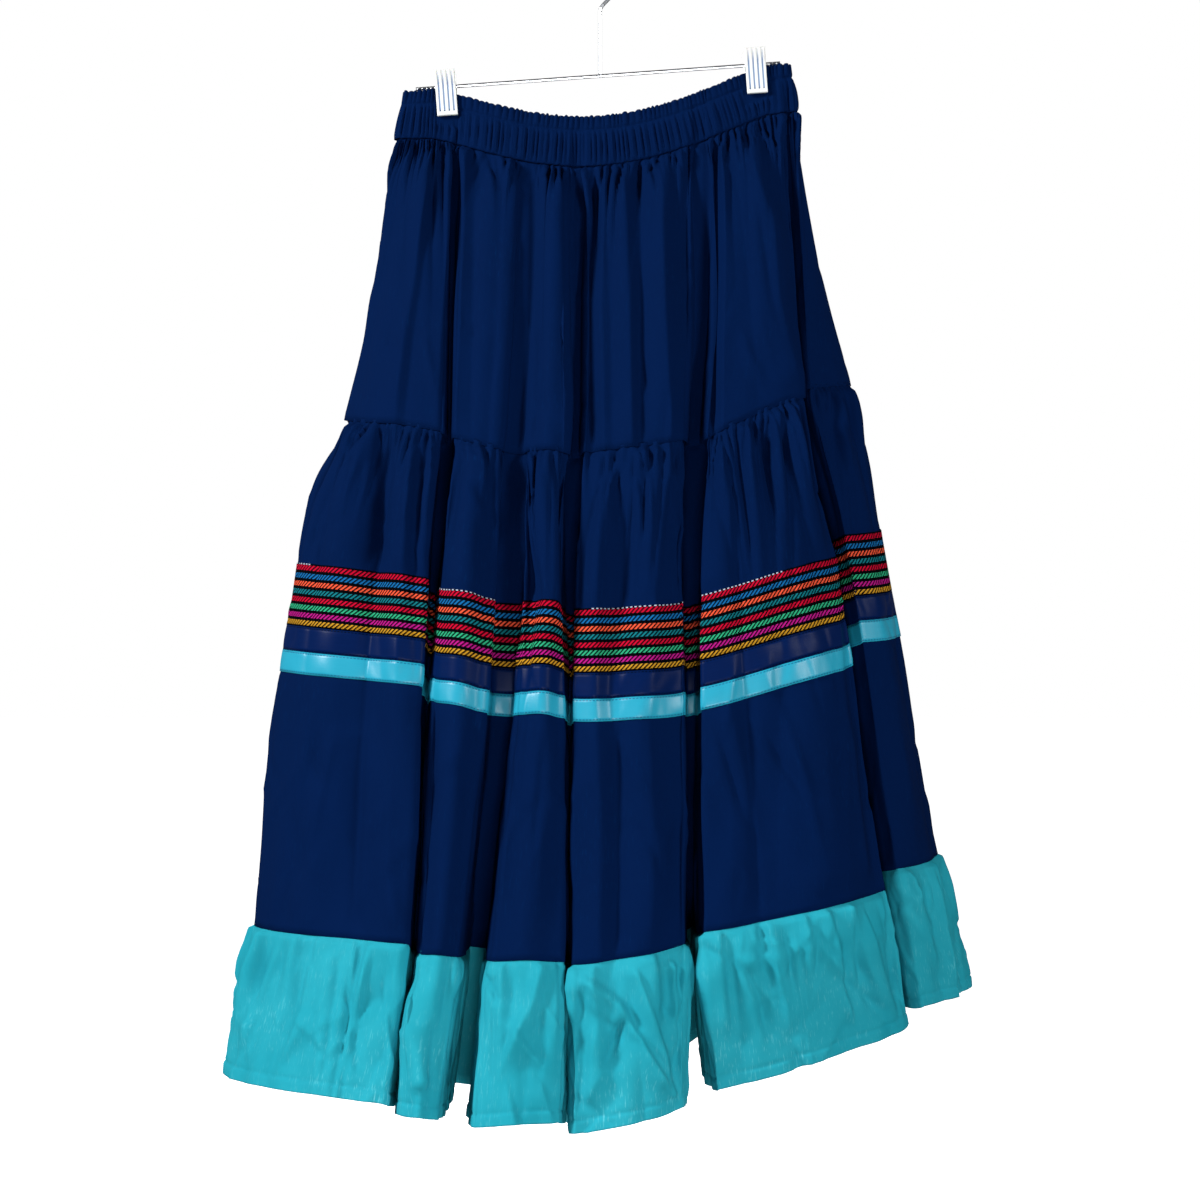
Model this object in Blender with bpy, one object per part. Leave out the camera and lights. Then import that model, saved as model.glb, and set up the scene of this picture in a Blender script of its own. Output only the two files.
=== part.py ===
"""A tiered dance skirt with a striped braid, two satin ribbons and a turquoise flounce, hanging open
and empty from the two clips of a wire hanger.

Metres, +Z up. The front faces -Y and its left side, as seen, is at -X. The origin is where a rail or
peg bears in the hanger's hook. Each tier is a wall that follows the same outline round the skirt: an
oval that widens from the waist to the hem, with the deep folds of the hanging cloth pushed into it.
"""

import math

import bmesh
import bpy
import numpy as np

# Hanger
BAR_BELOW_ORIGIN = 0.115  # the bar's centre line under the point where the hook hangs
BAR_TILT = math.radians(4.1)  # the hanger hangs a little high on its right
BAR_LEFT, BAR_RIGHT = -0.184, 0.180
WIRE_RADIUS = 0.0018
HOOK_RADIUS = 0.019  # centre line of the hook's bend
HOOK_BEND = (math.radians(-50), math.radians(200))  # where the bend starts and ends, from +X
HOOK_STEPS = 18
NECK_STEPS = 6
HOOK_NECK = 0.018  # height over which the stem sways out to the bend
CLIP_X = (-0.154, 0.155)
CLIP_WIDTH = 0.0205
CLIP_GRIP = 0.0300  # from the bar's centre line down to the jaw's tip
CLIP_LEVER = 0.0150  # from the bar's centre line up to the finger end
CLIP_WALL = 0.0026
CLIP_FLARE = 0.0045  # how much further out the finger ends stand than the grip
BOSS_BELOW, BOSS_ABOVE = 0.0015, 0.0030  # the bosses inside the jaws that bear on the bar

# Waist
EDGE_BELOW_BAR = 0.0025  # the waist's top edge under the bar, at the clips
WAIST_SAG = 0.0390  # how much lower the top edge hangs midway between the clips
SAG_HALF_SPAN = 0.165
SAG_SHAPE = 1.3  # more than 1 rounds the sag off towards the clips
SIDE_TAKE_UP = (0.010, 0.016)  # how much higher the left and right side seams hang than their length
TAKE_UP_LENGTH = 0.300  # length down the cloth over which that builds up
CLIP_PINCH_WIDTH = 0.030

# Cloth walls
CASING_WALL = 0.0022  # gathered cloth, elastic and cloth
CLOTH_WALL = 0.0012
TRIM_WALL = 0.0010
SEAM_GAP = 0.0003
TRIM_GAP = 0.0006  # from a tier's face to the back of the braid or ribbon on it

# Lengths down the cloth from the top edge
CASING_STITCH = 0.014
CASING_END = 0.050
UPPER_TOP = 0.100
UPPER_MIDDLE = 0.200
TIER_SEAM = 0.340
LOWER_TOP = 0.410
BRAID_TOP = 0.498
BRAID_END = 0.562
NAVY_RIBBON_END = 0.588
TURQUOISE_RIBBON_END = 0.610
LOWER_MIDDLE = 0.730
FLOUNCE_SEAM = 0.838
FLOUNCE_MIDDLE = 0.930
HEM = 1.000

# One row for each section down the cloth: length from the top edge, middle of the oval in x and y, its
# half width and half depth, how square it is (2 is an ellipse), how far it is turned about Z in degrees,
# how much the clips pinch it, and how far each lobe between two folds swells.
SECTIONS = (
    # length, middle_x, middle_y, half_width, half_depth, square, turn, pinch, swell
    (0.000, -0.003, 0.000, 0.193, 0.0090, 4.0, 0.0, 0.56, 0.000),
    (CASING_END, -0.004, 0.000, 0.202, 0.0120, 3.6, 0.0, 0.50, 0.000),
    (UPPER_TOP, -0.007, 0.000, 0.206, 0.0320, 3.0, 0.5, 0.20, 0.002),
    (UPPER_MIDDLE, -0.004, 0.000, 0.218, 0.0640, 2.6, 2.0, 0.00, 0.004),
    (TIER_SEAM, -0.001, 0.000, 0.249, 0.0920, 2.4, 4.0, 0.00, 0.005),
    (LOWER_TOP, -0.003, 0.000, 0.272, 0.1100, 2.3, 5.0, 0.00, 0.008),
    (BRAID_TOP, -0.006, 0.005, 0.287, 0.1260, 2.3, 6.0, 0.00, 0.009),
    (TURQUOISE_RIBBON_END, -0.005, 0.010, 0.304, 0.1400, 2.3, 7.0, 0.00, 0.009),
    (FLOUNCE_SEAM, 0.002, 0.018, 0.337, 0.1640, 2.3, 9.0, 0.00, 0.009),
    (HEM, 0.010, 0.036, 0.381, 0.1840, 2.3, 18.0, 0.00, 0.009),
)

# One row for each deep fold, from the left of the front round by the right to the left of the back:
# where it lies across the skirt and how deep it is at the waist, halfway down the upper tier, at the
# tier seam, the braid, the flounce's seam and the hem; half its width at the waist and at the hem,
# from the cloth's turn into it to its middle; the share of that which stays open between its walls;
# and the direction it runs in, in degrees from +X.
FOLD_LENGTHS = (0.0, UPPER_MIDDLE, TIER_SEAM, BRAID_TOP, FLOUNCE_SEAM, HEM)
FOLDS = (
    # name, across, depth, half_widths, opening, heading
    (
        "front_left",
        (-0.143, -0.145, -0.146, -0.155, -0.172, -0.190),
        (0, 0.018, 0.034, 0.050, 0.066, 0.076),
        (0.018, 0.016),
        0.50,
        92,
    ),
    (
        "front_mid_left",
        (-0.070, -0.076, -0.084, -0.087, -0.119, -0.131),
        (0, 0.005, 0.009, 0.016, 0.090, 0.165),
        (0.020, 0.022),
        0.60,
        90,
    ),
    (
        "front_centre",
        (-0.022, -0.024, -0.023, -0.029, -0.030, -0.030),
        (0, 0.012, 0.016, 0.050, 0.058, 0.060),
        (0.014, 0.024),
        0.36,
        90,
    ),
    (
        "front_mid_right",
        (0.098, 0.100, 0.084, 0.090, 0.085, 0.093),
        (0, 0.016, 0.024, 0.062, 0.120, 0.200),
        (0.034, 0.028),
        0.45,
        90,
    ),
    (
        "front_right",
        (0.181, 0.193, 0.203, 0.236, 0.286, 0.316),
        (0, 0.018, 0.030, 0.048, 0.062, 0.070),
        (0.014, 0.026),
        0.36,
        112,
    ),
    (
        "back_right",
        (0.168, 0.178, 0.190, 0.214, 0.240, 0.262),
        (0, 0.014, 0.028, 0.046, 0.060, 0.068),
        (0.014, 0.026),
        0.36,
        252,
    ),
    (
        "back_mid_right",
        (0.092, 0.098, 0.106, 0.116, 0.128, 0.140),
        (0, 0.016, 0.024, 0.050, 0.064, 0.072),
        (0.016, 0.026),
        0.36,
        268,
    ),
    (
        "back_centre",
        (0.010, 0.012, 0.012, 0.004, 0.010, 0.014),
        (0, 0.010, 0.018, 0.052, 0.068, 0.078),
        (0.016, 0.026),
        0.36,
        272,
    ),
    (
        "back_mid_left",
        (-0.070, -0.078, -0.090, -0.100, -0.112, -0.122),
        (0, 0.014, 0.022, 0.048, 0.058, 0.064),
        (0.016, 0.026),
        0.36,
        270,
    ),
    (
        "back_left",
        (-0.152, -0.158, -0.172, -0.200, -0.232, -0.254),
        (0, 0.014, 0.026, 0.044, 0.058, 0.066),
        (0.014, 0.026),
        0.36,
        284,
    ),
)
FOLD_ENTRY = 4  # how soon the cloth turns into the fold
FOLD_FLOOR = 0.80  # share of the way in at which the fold is at its full depth
FRONT_FOLDS = 5

# Where the side seams lie in the stretch of cloth between two folds
LEFT_SEAM_SHARE = 0.42
RIGHT_SEAM_SHARE = 0.50

# Facets
FOLD_STEPS = (0.0, 0.35, 0.75, 1.25, 1.65)  # from 0 at one edge of a fold to 2 at the other
LOBE_STEPS = 4  # across each lobe between two folds
WIDE_LOBE_STEPS = 7
WIDE_LOBES = (-1, 3, 4, 9)  # the lobes round both sides of the skirt and the one by the right side
OVAL_SAMPLES = 1440
LENGTH_STEP = 0.005

COLOURS = {
    # linear red, green and blue, roughness, metallic
    "navy_cotton": ((0.001, 0.017, 0.101), 0.85, 0.0),
    "turquoise_cotton": ((0.027, 0.434, 0.527), 0.85, 0.0),
    "striped_braid": ((0.402, 0.012, 0.051), 0.80, 0.0),
    "navy_satin": ((0.007, 0.021, 0.095), 0.35, 0.0),
    "turquoise_satin": ((0.080, 0.527, 0.638), 0.35, 0.0),
    "white_plastic": ((0.730, 0.753, 0.745), 0.40, 0.0),
    "steel_wire": ((0.640, 0.650, 0.660), 0.25, 1.0),
}


def smooth_through(x, xs, ys):
    """Monotone cubic through the points (xs, ys), so that sections run into each other with no overshoot."""
    xs, ys = np.asarray(xs, float), np.asarray(ys, float)
    step, rise = np.diff(xs), np.diff(ys)
    slope = rise / step
    tangent = np.empty(len(xs))
    tangent[0], tangent[-1] = slope[0], slope[-1]
    same_way = slope[:-1] * slope[1:] > 0
    mean = 2 * slope[:-1] * slope[1:] / np.where(same_way, slope[:-1] + slope[1:], 1.0)
    tangent[1:-1] = np.where(same_way, mean, 0.0)
    i = np.clip(np.searchsorted(xs, x, side="right") - 1, 0, len(xs) - 2)
    t = (x - xs[i]) / step[i]
    return (
        ys[i]
        + tangent[i] * step[i] * t * (1 - t) ** 2
        + rise[i] * t * t * (3 - 2 * t)
        - tangent[i + 1] * step[i] * t * t * (1 - t)
    )


def section_at(length):
    """The section's values at a length down the cloth."""
    lengths = [row[0] for row in SECTIONS]
    columns = range(1, len(SECTIONS[0]))
    return [float(smooth_through(length, lengths, [row[k] for row in SECTIONS])) for k in columns]


def oval(middle_x, middle_y, half_width, half_depth, square, turn):
    """Points of the plain oval, the share of its length at each from the left end by the front, and
    its length."""
    angle = np.pi + np.linspace(0, 2 * np.pi, OVAL_SAMPLES + 1)
    along = half_width * np.sign(np.cos(angle)) * np.abs(np.cos(angle)) ** (2 / square)
    across = half_depth * np.sign(np.sin(angle)) * np.abs(np.sin(angle)) ** (2 / square)
    turned = math.radians(turn)
    points = np.stack(
        (
            middle_x + along * math.cos(turned) - across * math.sin(turned),
            middle_y + along * math.sin(turned) + across * math.cos(turned),
        ),
        axis=1,
    )
    run = np.concatenate(([0.0], np.cumsum(np.linalg.norm(np.diff(points, axis=0), axis=1))))
    return points, run / run[-1], run[-1]


def oval_share_at(points, share, x, front):
    """The share of the oval's length at which its front or its back is at x."""
    half = OVAL_SAMPLES // 2
    part = slice(0, half + 1) if front else slice(half, OVAL_SAMPLES + 1)
    xs, shares = points[part, 0], share[part]
    inner = slice(xs.argmin(), xs.argmax() + 1) if front else slice(xs.argmax(), xs.argmin() + 1)
    xs, shares = xs[inner], shares[inner]
    return float(np.interp(x, xs, shares)) if front else float(np.interp(-x, -xs, shares))


def outline(length, places):
    """The skirt's outer face at one length down the cloth, as x and y at each place round it.

    A place is a fold's number plus 0 to 0.5 across that fold, or 0.5 to 1 across the lobe after it.
    """
    *shape, pinch, swell = section_at(length)
    points, share, around = oval(*shape)
    middles, depths, widths = (np.empty(len(FOLDS)) for _ in range(3))
    for number, (_, across, depth, half_widths, _, _) in enumerate(FOLDS):
        x = float(smooth_through(length, FOLD_LENGTHS, across))
        middles[number] = oval_share_at(points, share, x, number < FRONT_FOLDS)
        depths[number] = smooth_through(length, FOLD_LENGTHS, depth)
        widths[number] = np.interp(length, (0, HEM), half_widths) / around
    openings = np.array([row[4] for row in FOLDS])
    headings = np.radians([row[5] for row in FOLDS])

    fold = np.floor(places).astype(int) % len(FOLDS)
    part = places - np.floor(places)
    in_fold = part < 0.5
    across_fold = np.where(in_fold, part * 4, 0.0)  # 0 to 2
    way_in = 1 - np.abs(across_fold - 1)  # 0 at the edges, 1 at the fold's floor
    turned_in = 1 - (1 - way_in) ** FOLD_ENTRY
    travel = (1 - openings[fold]) * turned_in + openings[fold] * way_in
    fold_share = middles[fold] + np.sign(across_fold - 1) * widths[fold] * (1 - travel)
    sunk = np.sin(np.pi / 2 * np.clip(way_in / FOLD_FLOOR, 0, 1)) ** 2

    lobe = np.where(in_fold, 0.0, part * 2 - 1)
    start = middles[fold] + widths[fold]
    end = np.append(middles - widths, middles[0] - widths[0] + 1)[fold + 1]
    lobe_share = start + (end - start) * lobe
    swelled = swell * np.sin(np.pi * lobe) ** 2

    place_share = np.where(in_fold, fold_share, lobe_share) % 1.0
    xy = np.stack([np.interp(place_share, share, points[:, k]) for k in (0, 1)], axis=1)
    ahead = np.stack([np.interp((place_share + 0.001) % 1.0, share, points[:, k]) for k in (0, 1)], axis=1)
    behind = np.stack([np.interp((place_share - 0.001) % 1.0, share, points[:, k]) for k in (0, 1)], axis=1)
    tangent = ahead - behind
    outward = np.stack((tangent[:, 1], -tangent[:, 0]), axis=1)
    outward /= np.linalg.norm(outward, axis=1, keepdims=True)

    depth = np.where(in_fold, depths[fold] * sunk, 0.0)
    xy[:, 0] += depth * np.cos(headings[fold]) + swelled * outward[:, 0]
    xy[:, 1] += depth * np.sin(headings[fold]) + swelled * outward[:, 1]
    if pinch > 0:
        at_clips = sum(np.exp(-(((xy[:, 0] - x) / CLIP_PINCH_WIDTH) ** 2)) for x in CLIP_X)
        xy[:, 1] *= 1 - pinch * np.clip(at_clips, 0, 1)
    return xy


def bar_height(x):
    """Height of the hanger bar's centre line."""
    return -BAR_BELOW_ORIGIN + np.tan(BAR_TILT) * x


def top_edge_height(x):
    """Height of the waist's top edge, which sags between the clips."""
    sag = np.clip(1 - (x / SAG_HALF_SPAN) ** 2, 0, None) ** SAG_SHAPE
    return bar_height(x) - EDGE_BELOW_BAR - WAIST_SAG * sag


def hang(places, lengths):
    """Outer face at each length and place, in 3-D. Each thread hangs at its true length, so where it
    runs outwards it reaches less far down."""
    reach = max(lengths)
    marks = np.unique(np.round(np.append(np.arange(0, reach, LENGTH_STEP), lengths), 6))
    xy = outline(0.0, places)
    height = top_edge_height(xy[:, 0])
    at_side = np.clip(np.abs(xy[:, 0]) / SECTIONS[0][3], 0, 1) ** 6
    at_side *= np.where(xy[:, 0] < 0, *SIDE_TAKE_UP)
    found = {}
    for previous, length in zip(np.append(0.0, marks[:-1]), marks):
        moved = outline(length, places)
        step = length - previous
        sideways = np.minimum(np.linalg.norm(moved - xy, axis=1), 0.8 * step)
        height = height - np.sqrt(step**2 - sideways**2)
        xy = moved
        taken_up = at_side * min(length / TAKE_UP_LENGTH, 1.0)
        found[length] = np.column_stack((xy, height + taken_up))
    return np.array([found[round(length, 6)] for length in lengths])


def outward_normals(length, places):
    """Level unit vectors that point out of the skirt."""
    step = 1e-3
    tangent = outline(length, places + step) - outline(length, places - step)
    outward = np.stack((tangent[:, 1], -tangent[:, 0]), axis=1)
    return outward / np.linalg.norm(outward, axis=1, keepdims=True)


def seam_places():
    """Places of the right and the left side seam."""
    right = FRONT_FOLDS - 1 + 0.5 + RIGHT_SEAM_SHARE / 2
    left = len(FOLDS) - 1 + 0.5 + LEFT_SEAM_SHARE / 2
    return right, left


def all_places():
    """Places round the whole skirt, from the left side seam by the front back to that seam."""
    right, left = seam_places()
    regular = []
    for fold in range(-1, len(FOLDS)):
        steps = WIDE_LOBE_STEPS if fold in WIDE_LOBES else LOBE_STEPS
        regular += [fold + step / 4 for step in FOLD_STEPS]
        regular += [fold + 0.5 + step / (2 * steps) for step in range(steps)]
    start, end = left - len(FOLDS), left
    nearest = 0.02  # a regular place this near a seam would leave a sliver
    seams = (start, right, end)
    kept = [p for p in regular if start < p < end and min(abs(p - s) for s in seams) > nearest]
    return np.array(sorted(kept + [start, right, end]))


def material(name):
    colour, roughness, metallic = COLOURS[name]
    made = bpy.data.materials.get(name) or bpy.data.materials.new(name)
    made.use_nodes = True
    shader = made.node_tree.nodes["Principled BSDF"]
    shader.inputs["Base Color"].default_value = (*colour, 1.0)
    shader.inputs["Roughness"].default_value = roughness
    shader.inputs["Metallic"].default_value = metallic
    return made


def add_object(name, bm, material_name):
    mesh = bpy.data.meshes.new(name)
    bm.to_mesh(mesh)
    bm.free()
    mesh.materials.append(material(material_name))
    mesh.shade_smooth()
    mesh.set_sharp_from_angle(angle=math.radians(50))
    obj = bpy.data.objects.new(name, mesh)
    bpy.context.scene.collection.objects.link(obj)
    return obj


def add_quad(bm, first, second, facing=1):
    """Two triangles between two edges, always split along the same diagonal, so that faces which lie
    along one another stay the same distance apart."""
    for corners in ((first[0], second[1], first[1]), (first[0], second[0], second[1])):
        bm.faces.new(corners[::facing])


def add_panel(name, material_name, places, lengths, lift, wall):
    """A panel of cloth as a closed wall: its outer face stands lift out from the skirt's outline."""
    ends = np.zeros(len(places))
    ends[0], ends[-1] = SEAM_GAP / 2, -SEAM_GAP / 2
    drops = np.zeros(len(lengths))
    drops[0], drops[-1] = -SEAM_GAP / 2, SEAM_GAP / 2
    bm = bmesh.new()
    faces_out, faces_in = [], []
    for length, drop, face in zip(lengths, drops, hang(places, lengths)):
        outward = outward_normals(length, places)
        along = np.stack((-outward[:, 1], outward[:, 0]), axis=1) * ends[:, None]
        for distance, rows in ((lift, faces_out), (lift - wall, faces_in)):
            xy = face[:, :2] + outward * distance + along
            rows.append([bm.verts.new((x, y, z + drop)) for (x, y), z in zip(xy, face[:, 2])])
    last_row, last_column = len(lengths) - 1, len(places) - 1
    for row in range(last_row):
        for column in range(last_column):
            for rows, facing in ((faces_out, 1), (faces_in, -1)):
                add_quad(bm, rows[row][column : column + 2], rows[row + 1][column : column + 2], facing)
        for column, facing in ((0, -1), (last_column, 1)):
            upper = (faces_out[row][column], faces_in[row][column])
            add_quad(bm, upper, (faces_out[row + 1][column], faces_in[row + 1][column]), facing)
    for row, facing in ((0, -1), (last_row, 1)):
        for column in range(last_column):
            add_quad(bm, faces_out[row][column : column + 2], faces_in[row][column : column + 2], facing)
    return add_object(name, bm, material_name)


def add_cloth():
    right, _ = seam_places()
    places = all_places()
    split = int(np.argmin(np.abs(places - right)))
    trim_edges = (BRAID_TOP, BRAID_END, NAVY_RIBBON_END, TURQUOISE_RIBBON_END)
    lower_tier = (TIER_SEAM, LOWER_TOP, *trim_edges, LOWER_MIDDLE, FLOUNCE_SEAM)
    trim_lift = TRIM_GAP + TRIM_WALL
    panels = (
        # name, material, lengths down the cloth, lift, wall
        ("waist_casing", "navy_cotton", (0.0, CASING_STITCH, CASING_END), 0.0, CASING_WALL),
        ("upper_tier", "navy_cotton", (CASING_END, UPPER_TOP, UPPER_MIDDLE, TIER_SEAM), 0.0, CLOTH_WALL),
        ("lower_tier", "navy_cotton", lower_tier, 0.0, CLOTH_WALL),
        ("flounce", "turquoise_cotton", (FLOUNCE_SEAM, FLOUNCE_MIDDLE, HEM), 0.0, CLOTH_WALL),
        ("striped_braid", "striped_braid", trim_edges[0:2], trim_lift, TRIM_WALL),
        ("navy_ribbon", "navy_satin", trim_edges[1:3], trim_lift, TRIM_WALL),
        ("turquoise_ribbon", "turquoise_satin", trim_edges[2:4], trim_lift, TRIM_WALL),
    )
    for name, material_name, lengths, lift, wall in panels:
        add_panel(name + "_front", material_name, places[: split + 1], lengths, lift, wall)
        add_panel(name + "_back", material_name, places[split:], lengths, lift, wall)


def add_hanger_wire():
    """The bar and the hook, of one gauge of wire. The hook's stem stands on the middle of the bar."""

    def wire(name, points):
        curve = bpy.data.curves.new(name, "CURVE")
        curve.dimensions = "3D"
        curve.bevel_depth = WIRE_RADIUS
        curve.bevel_resolution = 2
        curve.use_fill_caps = True
        spline = curve.splines.new("POLY")
        spline.points.add(len(points) - 1)
        for point, co in zip(spline.points, points):
            point.co = (*co, 1.0)
        curve.materials.append(material("steel_wire"))
        obj = bpy.data.objects.new(name, curve)
        bpy.context.scene.collection.objects.link(obj)

    wire("hanger_bar", [(x, 0.0, float(bar_height(x))) for x in (BAR_LEFT, BAR_RIGHT)])
    bend_centre = WIRE_RADIUS - HOOK_RADIUS
    foot = -BAR_BELOW_ORIGIN + WIRE_RADIUS + SEAM_GAP
    angles = np.linspace(*HOOK_BEND, HOOK_STEPS + 1)
    bend = [(HOOK_RADIUS * math.cos(a), bend_centre + HOOK_RADIUS * math.sin(a)) for a in angles]
    neck = bend[0][1] - HOOK_NECK
    hook = [(0.0, 0.0, foot), (0.0, 0.0, neck)]
    for along in np.linspace(0, 1, NECK_STEPS + 1)[1:-1]:
        sideways = bend[0][0] * along * along * (3 - 2 * along)
        hook.append((sideways, 0.0, neck + HOOK_NECK * along))
    hook += [(x, 0.0, z) for x, z in bend]
    wire("hanger_hook", hook)


def add_clip(name, x):
    """A pinch clip: a front and a back jaw which grip the waist, each with a boss that bears on the bar."""
    centre = (x, 0.0, float(bar_height(x)))
    gripped = np.concatenate([outline(length, all_places()) for length in (0.0, 0.014, CLIP_GRIP)])
    gripped = gripped[np.abs(gripped[:, 0] - x) < CLIP_WIDTH]
    boss = WIRE_RADIUS + SEAM_GAP
    for side, label in ((-1, "front"), (1, "back")):
        grip = float((side * gripped[:, 1]).max()) + SEAM_GAP
        # Profile of the jaw, as height from the bar and distance from the middle of the cloth.
        profile = (
            (-CLIP_GRIP, grip),
            (-BOSS_BELOW, grip),
            (-BOSS_BELOW, boss),
            (BOSS_ABOVE, boss),
            (BOSS_ABOVE, grip),
            (CLIP_LEVER, grip + CLIP_FLARE),
            (CLIP_LEVER, grip + CLIP_FLARE + CLIP_WALL),
            (0.0, grip + CLIP_WALL),
            (-CLIP_GRIP, grip + CLIP_WALL),
        )
        bm = bmesh.new()
        ends = []
        for across in (-CLIP_WIDTH / 2, CLIP_WIDTH / 2):
            end = []
            for height, out in profile:
                level = across * math.cos(BAR_TILT) - height * math.sin(BAR_TILT)
                up = across * math.sin(BAR_TILT) + height * math.cos(BAR_TILT)
                end.append(bm.verts.new((centre[0] + level, side * out, centre[2] + up)))
            ends.append(end)
            bm.faces.new(end)
        for i in range(len(profile)):
            after = (i + 1) % len(profile)
            bm.faces.new((ends[0][i], ends[0][after], ends[1][after], ends[1][i]))
        bmesh.ops.recalc_face_normals(bm, faces=bm.faces)
        add_object(f"{name}_{label}_jaw", bm, "white_plastic")


def main():
    for obj in list(bpy.data.objects):
        bpy.data.objects.remove(obj)
    add_cloth()
    add_hanger_wire()
    add_clip("left_clip", CLIP_X[0])
    add_clip("right_clip", CLIP_X[1])


main()
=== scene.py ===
import math

import bpy
import numpy as np
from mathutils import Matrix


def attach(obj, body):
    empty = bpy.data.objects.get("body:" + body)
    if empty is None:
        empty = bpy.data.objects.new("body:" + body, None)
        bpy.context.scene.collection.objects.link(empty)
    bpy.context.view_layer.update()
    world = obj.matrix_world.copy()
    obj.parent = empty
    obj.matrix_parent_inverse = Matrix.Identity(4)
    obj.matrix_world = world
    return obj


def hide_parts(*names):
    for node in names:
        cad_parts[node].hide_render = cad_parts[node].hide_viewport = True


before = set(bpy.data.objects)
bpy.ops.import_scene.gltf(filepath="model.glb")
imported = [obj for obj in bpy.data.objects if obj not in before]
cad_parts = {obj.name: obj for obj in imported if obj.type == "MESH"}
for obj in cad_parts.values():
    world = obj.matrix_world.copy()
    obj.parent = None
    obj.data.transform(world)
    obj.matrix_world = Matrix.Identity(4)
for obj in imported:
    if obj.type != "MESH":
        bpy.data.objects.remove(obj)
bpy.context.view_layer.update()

# Waist casing. A folded channel of navy cotton poplin with elastic inside, run up on a gathering
# machine: a narrow header stands above the upper stitch line, and the channel puckers below it.

BAR_BELOW_ORIGIN = 0.115  # at the middle of the bar
BAR_TILT = math.radians(4.1)
CLIP_X = (-0.154, 0.155)
EDGE_BELOW_BAR = 0.0025
WAIST_SAG = 0.0390  # how far the top edge sags halfway between the clips
SAG_HALF_SPAN = 0.165
SAG_SHAPE = 1.3
SIDE_TAKE_UP = (0.010, 0.016)  # how much higher than the middle the left and the right side hang
TAKE_UP_LENGTH = 0.300  # and how far down that is reached
CLIP_PINCH_WIDTH = 0.030
OVAL_SAMPLES = 1440
LENGTH_STEP = 0.005  # the cloth is followed down in steps of this length

# Lengths down the cloth from its top edge
CASING_STITCH = 0.014
CASING_END = 0.050
TIER_SEAM = 0.340
BRAID_TOP = 0.498
BRAID_END = 0.562
NAVY_RIBBON_END = 0.588
TURQUOISE_RIBBON_END = 0.610
FLOUNCE_SEAM = 0.838
HEM = 1.000

# The plain oval that the cloth hangs in, at lengths down the skirt
OVALS = (
    # length, middle_x, middle_y, half_width, half_depth, square, turn, pinch, swell
    (0.000, -0.003, 0.000, 0.193, 0.0090, 4.0, 0.0, 0.56, 0.000),
    (0.050, -0.004, 0.000, 0.202, 0.0120, 3.6, 0.0, 0.50, 0.000),
    (0.100, -0.007, 0.000, 0.206, 0.0320, 3.0, 0.5, 0.20, 0.002),
    (0.200, -0.004, 0.000, 0.218, 0.0640, 2.6, 2.0, 0.00, 0.004),
    (0.340, -0.001, 0.000, 0.249, 0.0920, 2.4, 4.0, 0.00, 0.005),
    (0.410, -0.003, 0.000, 0.272, 0.1100, 2.3, 5.0, 0.00, 0.008),
    (0.498, -0.006, 0.005, 0.287, 0.1260, 2.3, 6.0, 0.00, 0.009),
    (0.610, -0.005, 0.010, 0.304, 0.1400, 2.3, 7.0, 0.00, 0.009),
    (0.838, 0.002, 0.018, 0.337, 0.1640, 2.3, 9.0, 0.00, 0.009),
    (1.000, 0.010, 0.036, 0.381, 0.1840, 2.3, 18.0, 0.00, 0.009),
)

# The deep folds, from the left of the front round by the right to the left of the back
DEEP_FOLD_LENGTHS = (0.0, 0.200, TIER_SEAM, BRAID_TOP, FLOUNCE_SEAM, HEM)
BACK_WIDTHS = (0.014, 0.012, 0.010, 0.008, 0.009, 0.014)
DEEP_FOLDS = (
    # where it lies across, how deep it is, half its width, the share of that which is floor, heading
    ((-0.143, -0.145, -0.146, -0.159, -0.176, -0.192), (0, 0.020, 0.034, 0.050, 0.066, 0.076),
     (0.008, 0.006, 0.006, 0.006, 0.007, 0.010), 0.15, 92),
    ((-0.070, -0.076, -0.084, -0.087, -0.119, -0.135), (0, 0.005, 0.009, 0.018, 0.090, 0.165),
     (0.020, 0.020, 0.020, 0.020, 0.017, 0.018), 0.45, 90),
    ((-0.022, -0.024, -0.024, -0.030, -0.031, -0.031), (0, 0.014, 0.018, 0.050, 0.058, 0.060),
     (0.013, 0.014, 0.011, 0.005, 0.005, 0.008), 0.30, 90),
    ((0.098, 0.100, 0.092, 0.090, 0.089, 0.095), (0, 0.018, 0.028, 0.062, 0.120, 0.200),
     (0.014, 0.015, 0.013, 0.009, 0.010, 0.018), 0.40, 90),
    ((0.186, 0.196, 0.203, 0.236, 0.286, 0.316), (0, 0.018, 0.030, 0.048, 0.062, 0.070),
     (0.008, 0.006, 0.006, 0.006, 0.008, 0.012), 0.20, 112),
    ((0.168, 0.178, 0.190, 0.214, 0.240, 0.262), (0, 0.014, 0.028, 0.046, 0.060, 0.068),
     BACK_WIDTHS, 0.30, 252),
    ((0.092, 0.098, 0.106, 0.116, 0.128, 0.140), (0, 0.016, 0.024, 0.050, 0.064, 0.072),
     BACK_WIDTHS, 0.30, 268),
    ((0.010, 0.012, 0.012, 0.004, 0.010, 0.014), (0, 0.010, 0.018, 0.052, 0.068, 0.078),
     BACK_WIDTHS, 0.30, 272),
    ((-0.070, -0.078, -0.090, -0.100, -0.112, -0.122), (0, 0.014, 0.022, 0.048, 0.058, 0.064),
     BACK_WIDTHS, 0.30, 270),
    ((-0.152, -0.158, -0.172, -0.200, -0.232, -0.254), (0, 0.014, 0.026, 0.044, 0.058, 0.066),
     BACK_WIDTHS, 0.30, 284),
)
FOLD_ENTRY = 4  # how soon the cloth turns into a fold
FOLD_WALL = 0.60  # share of the way in at which the fold is at its full depth
FOLD_SLANT = 0.35  # how much of the way across its walls slant
FRONT_FOLDS = 5
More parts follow.
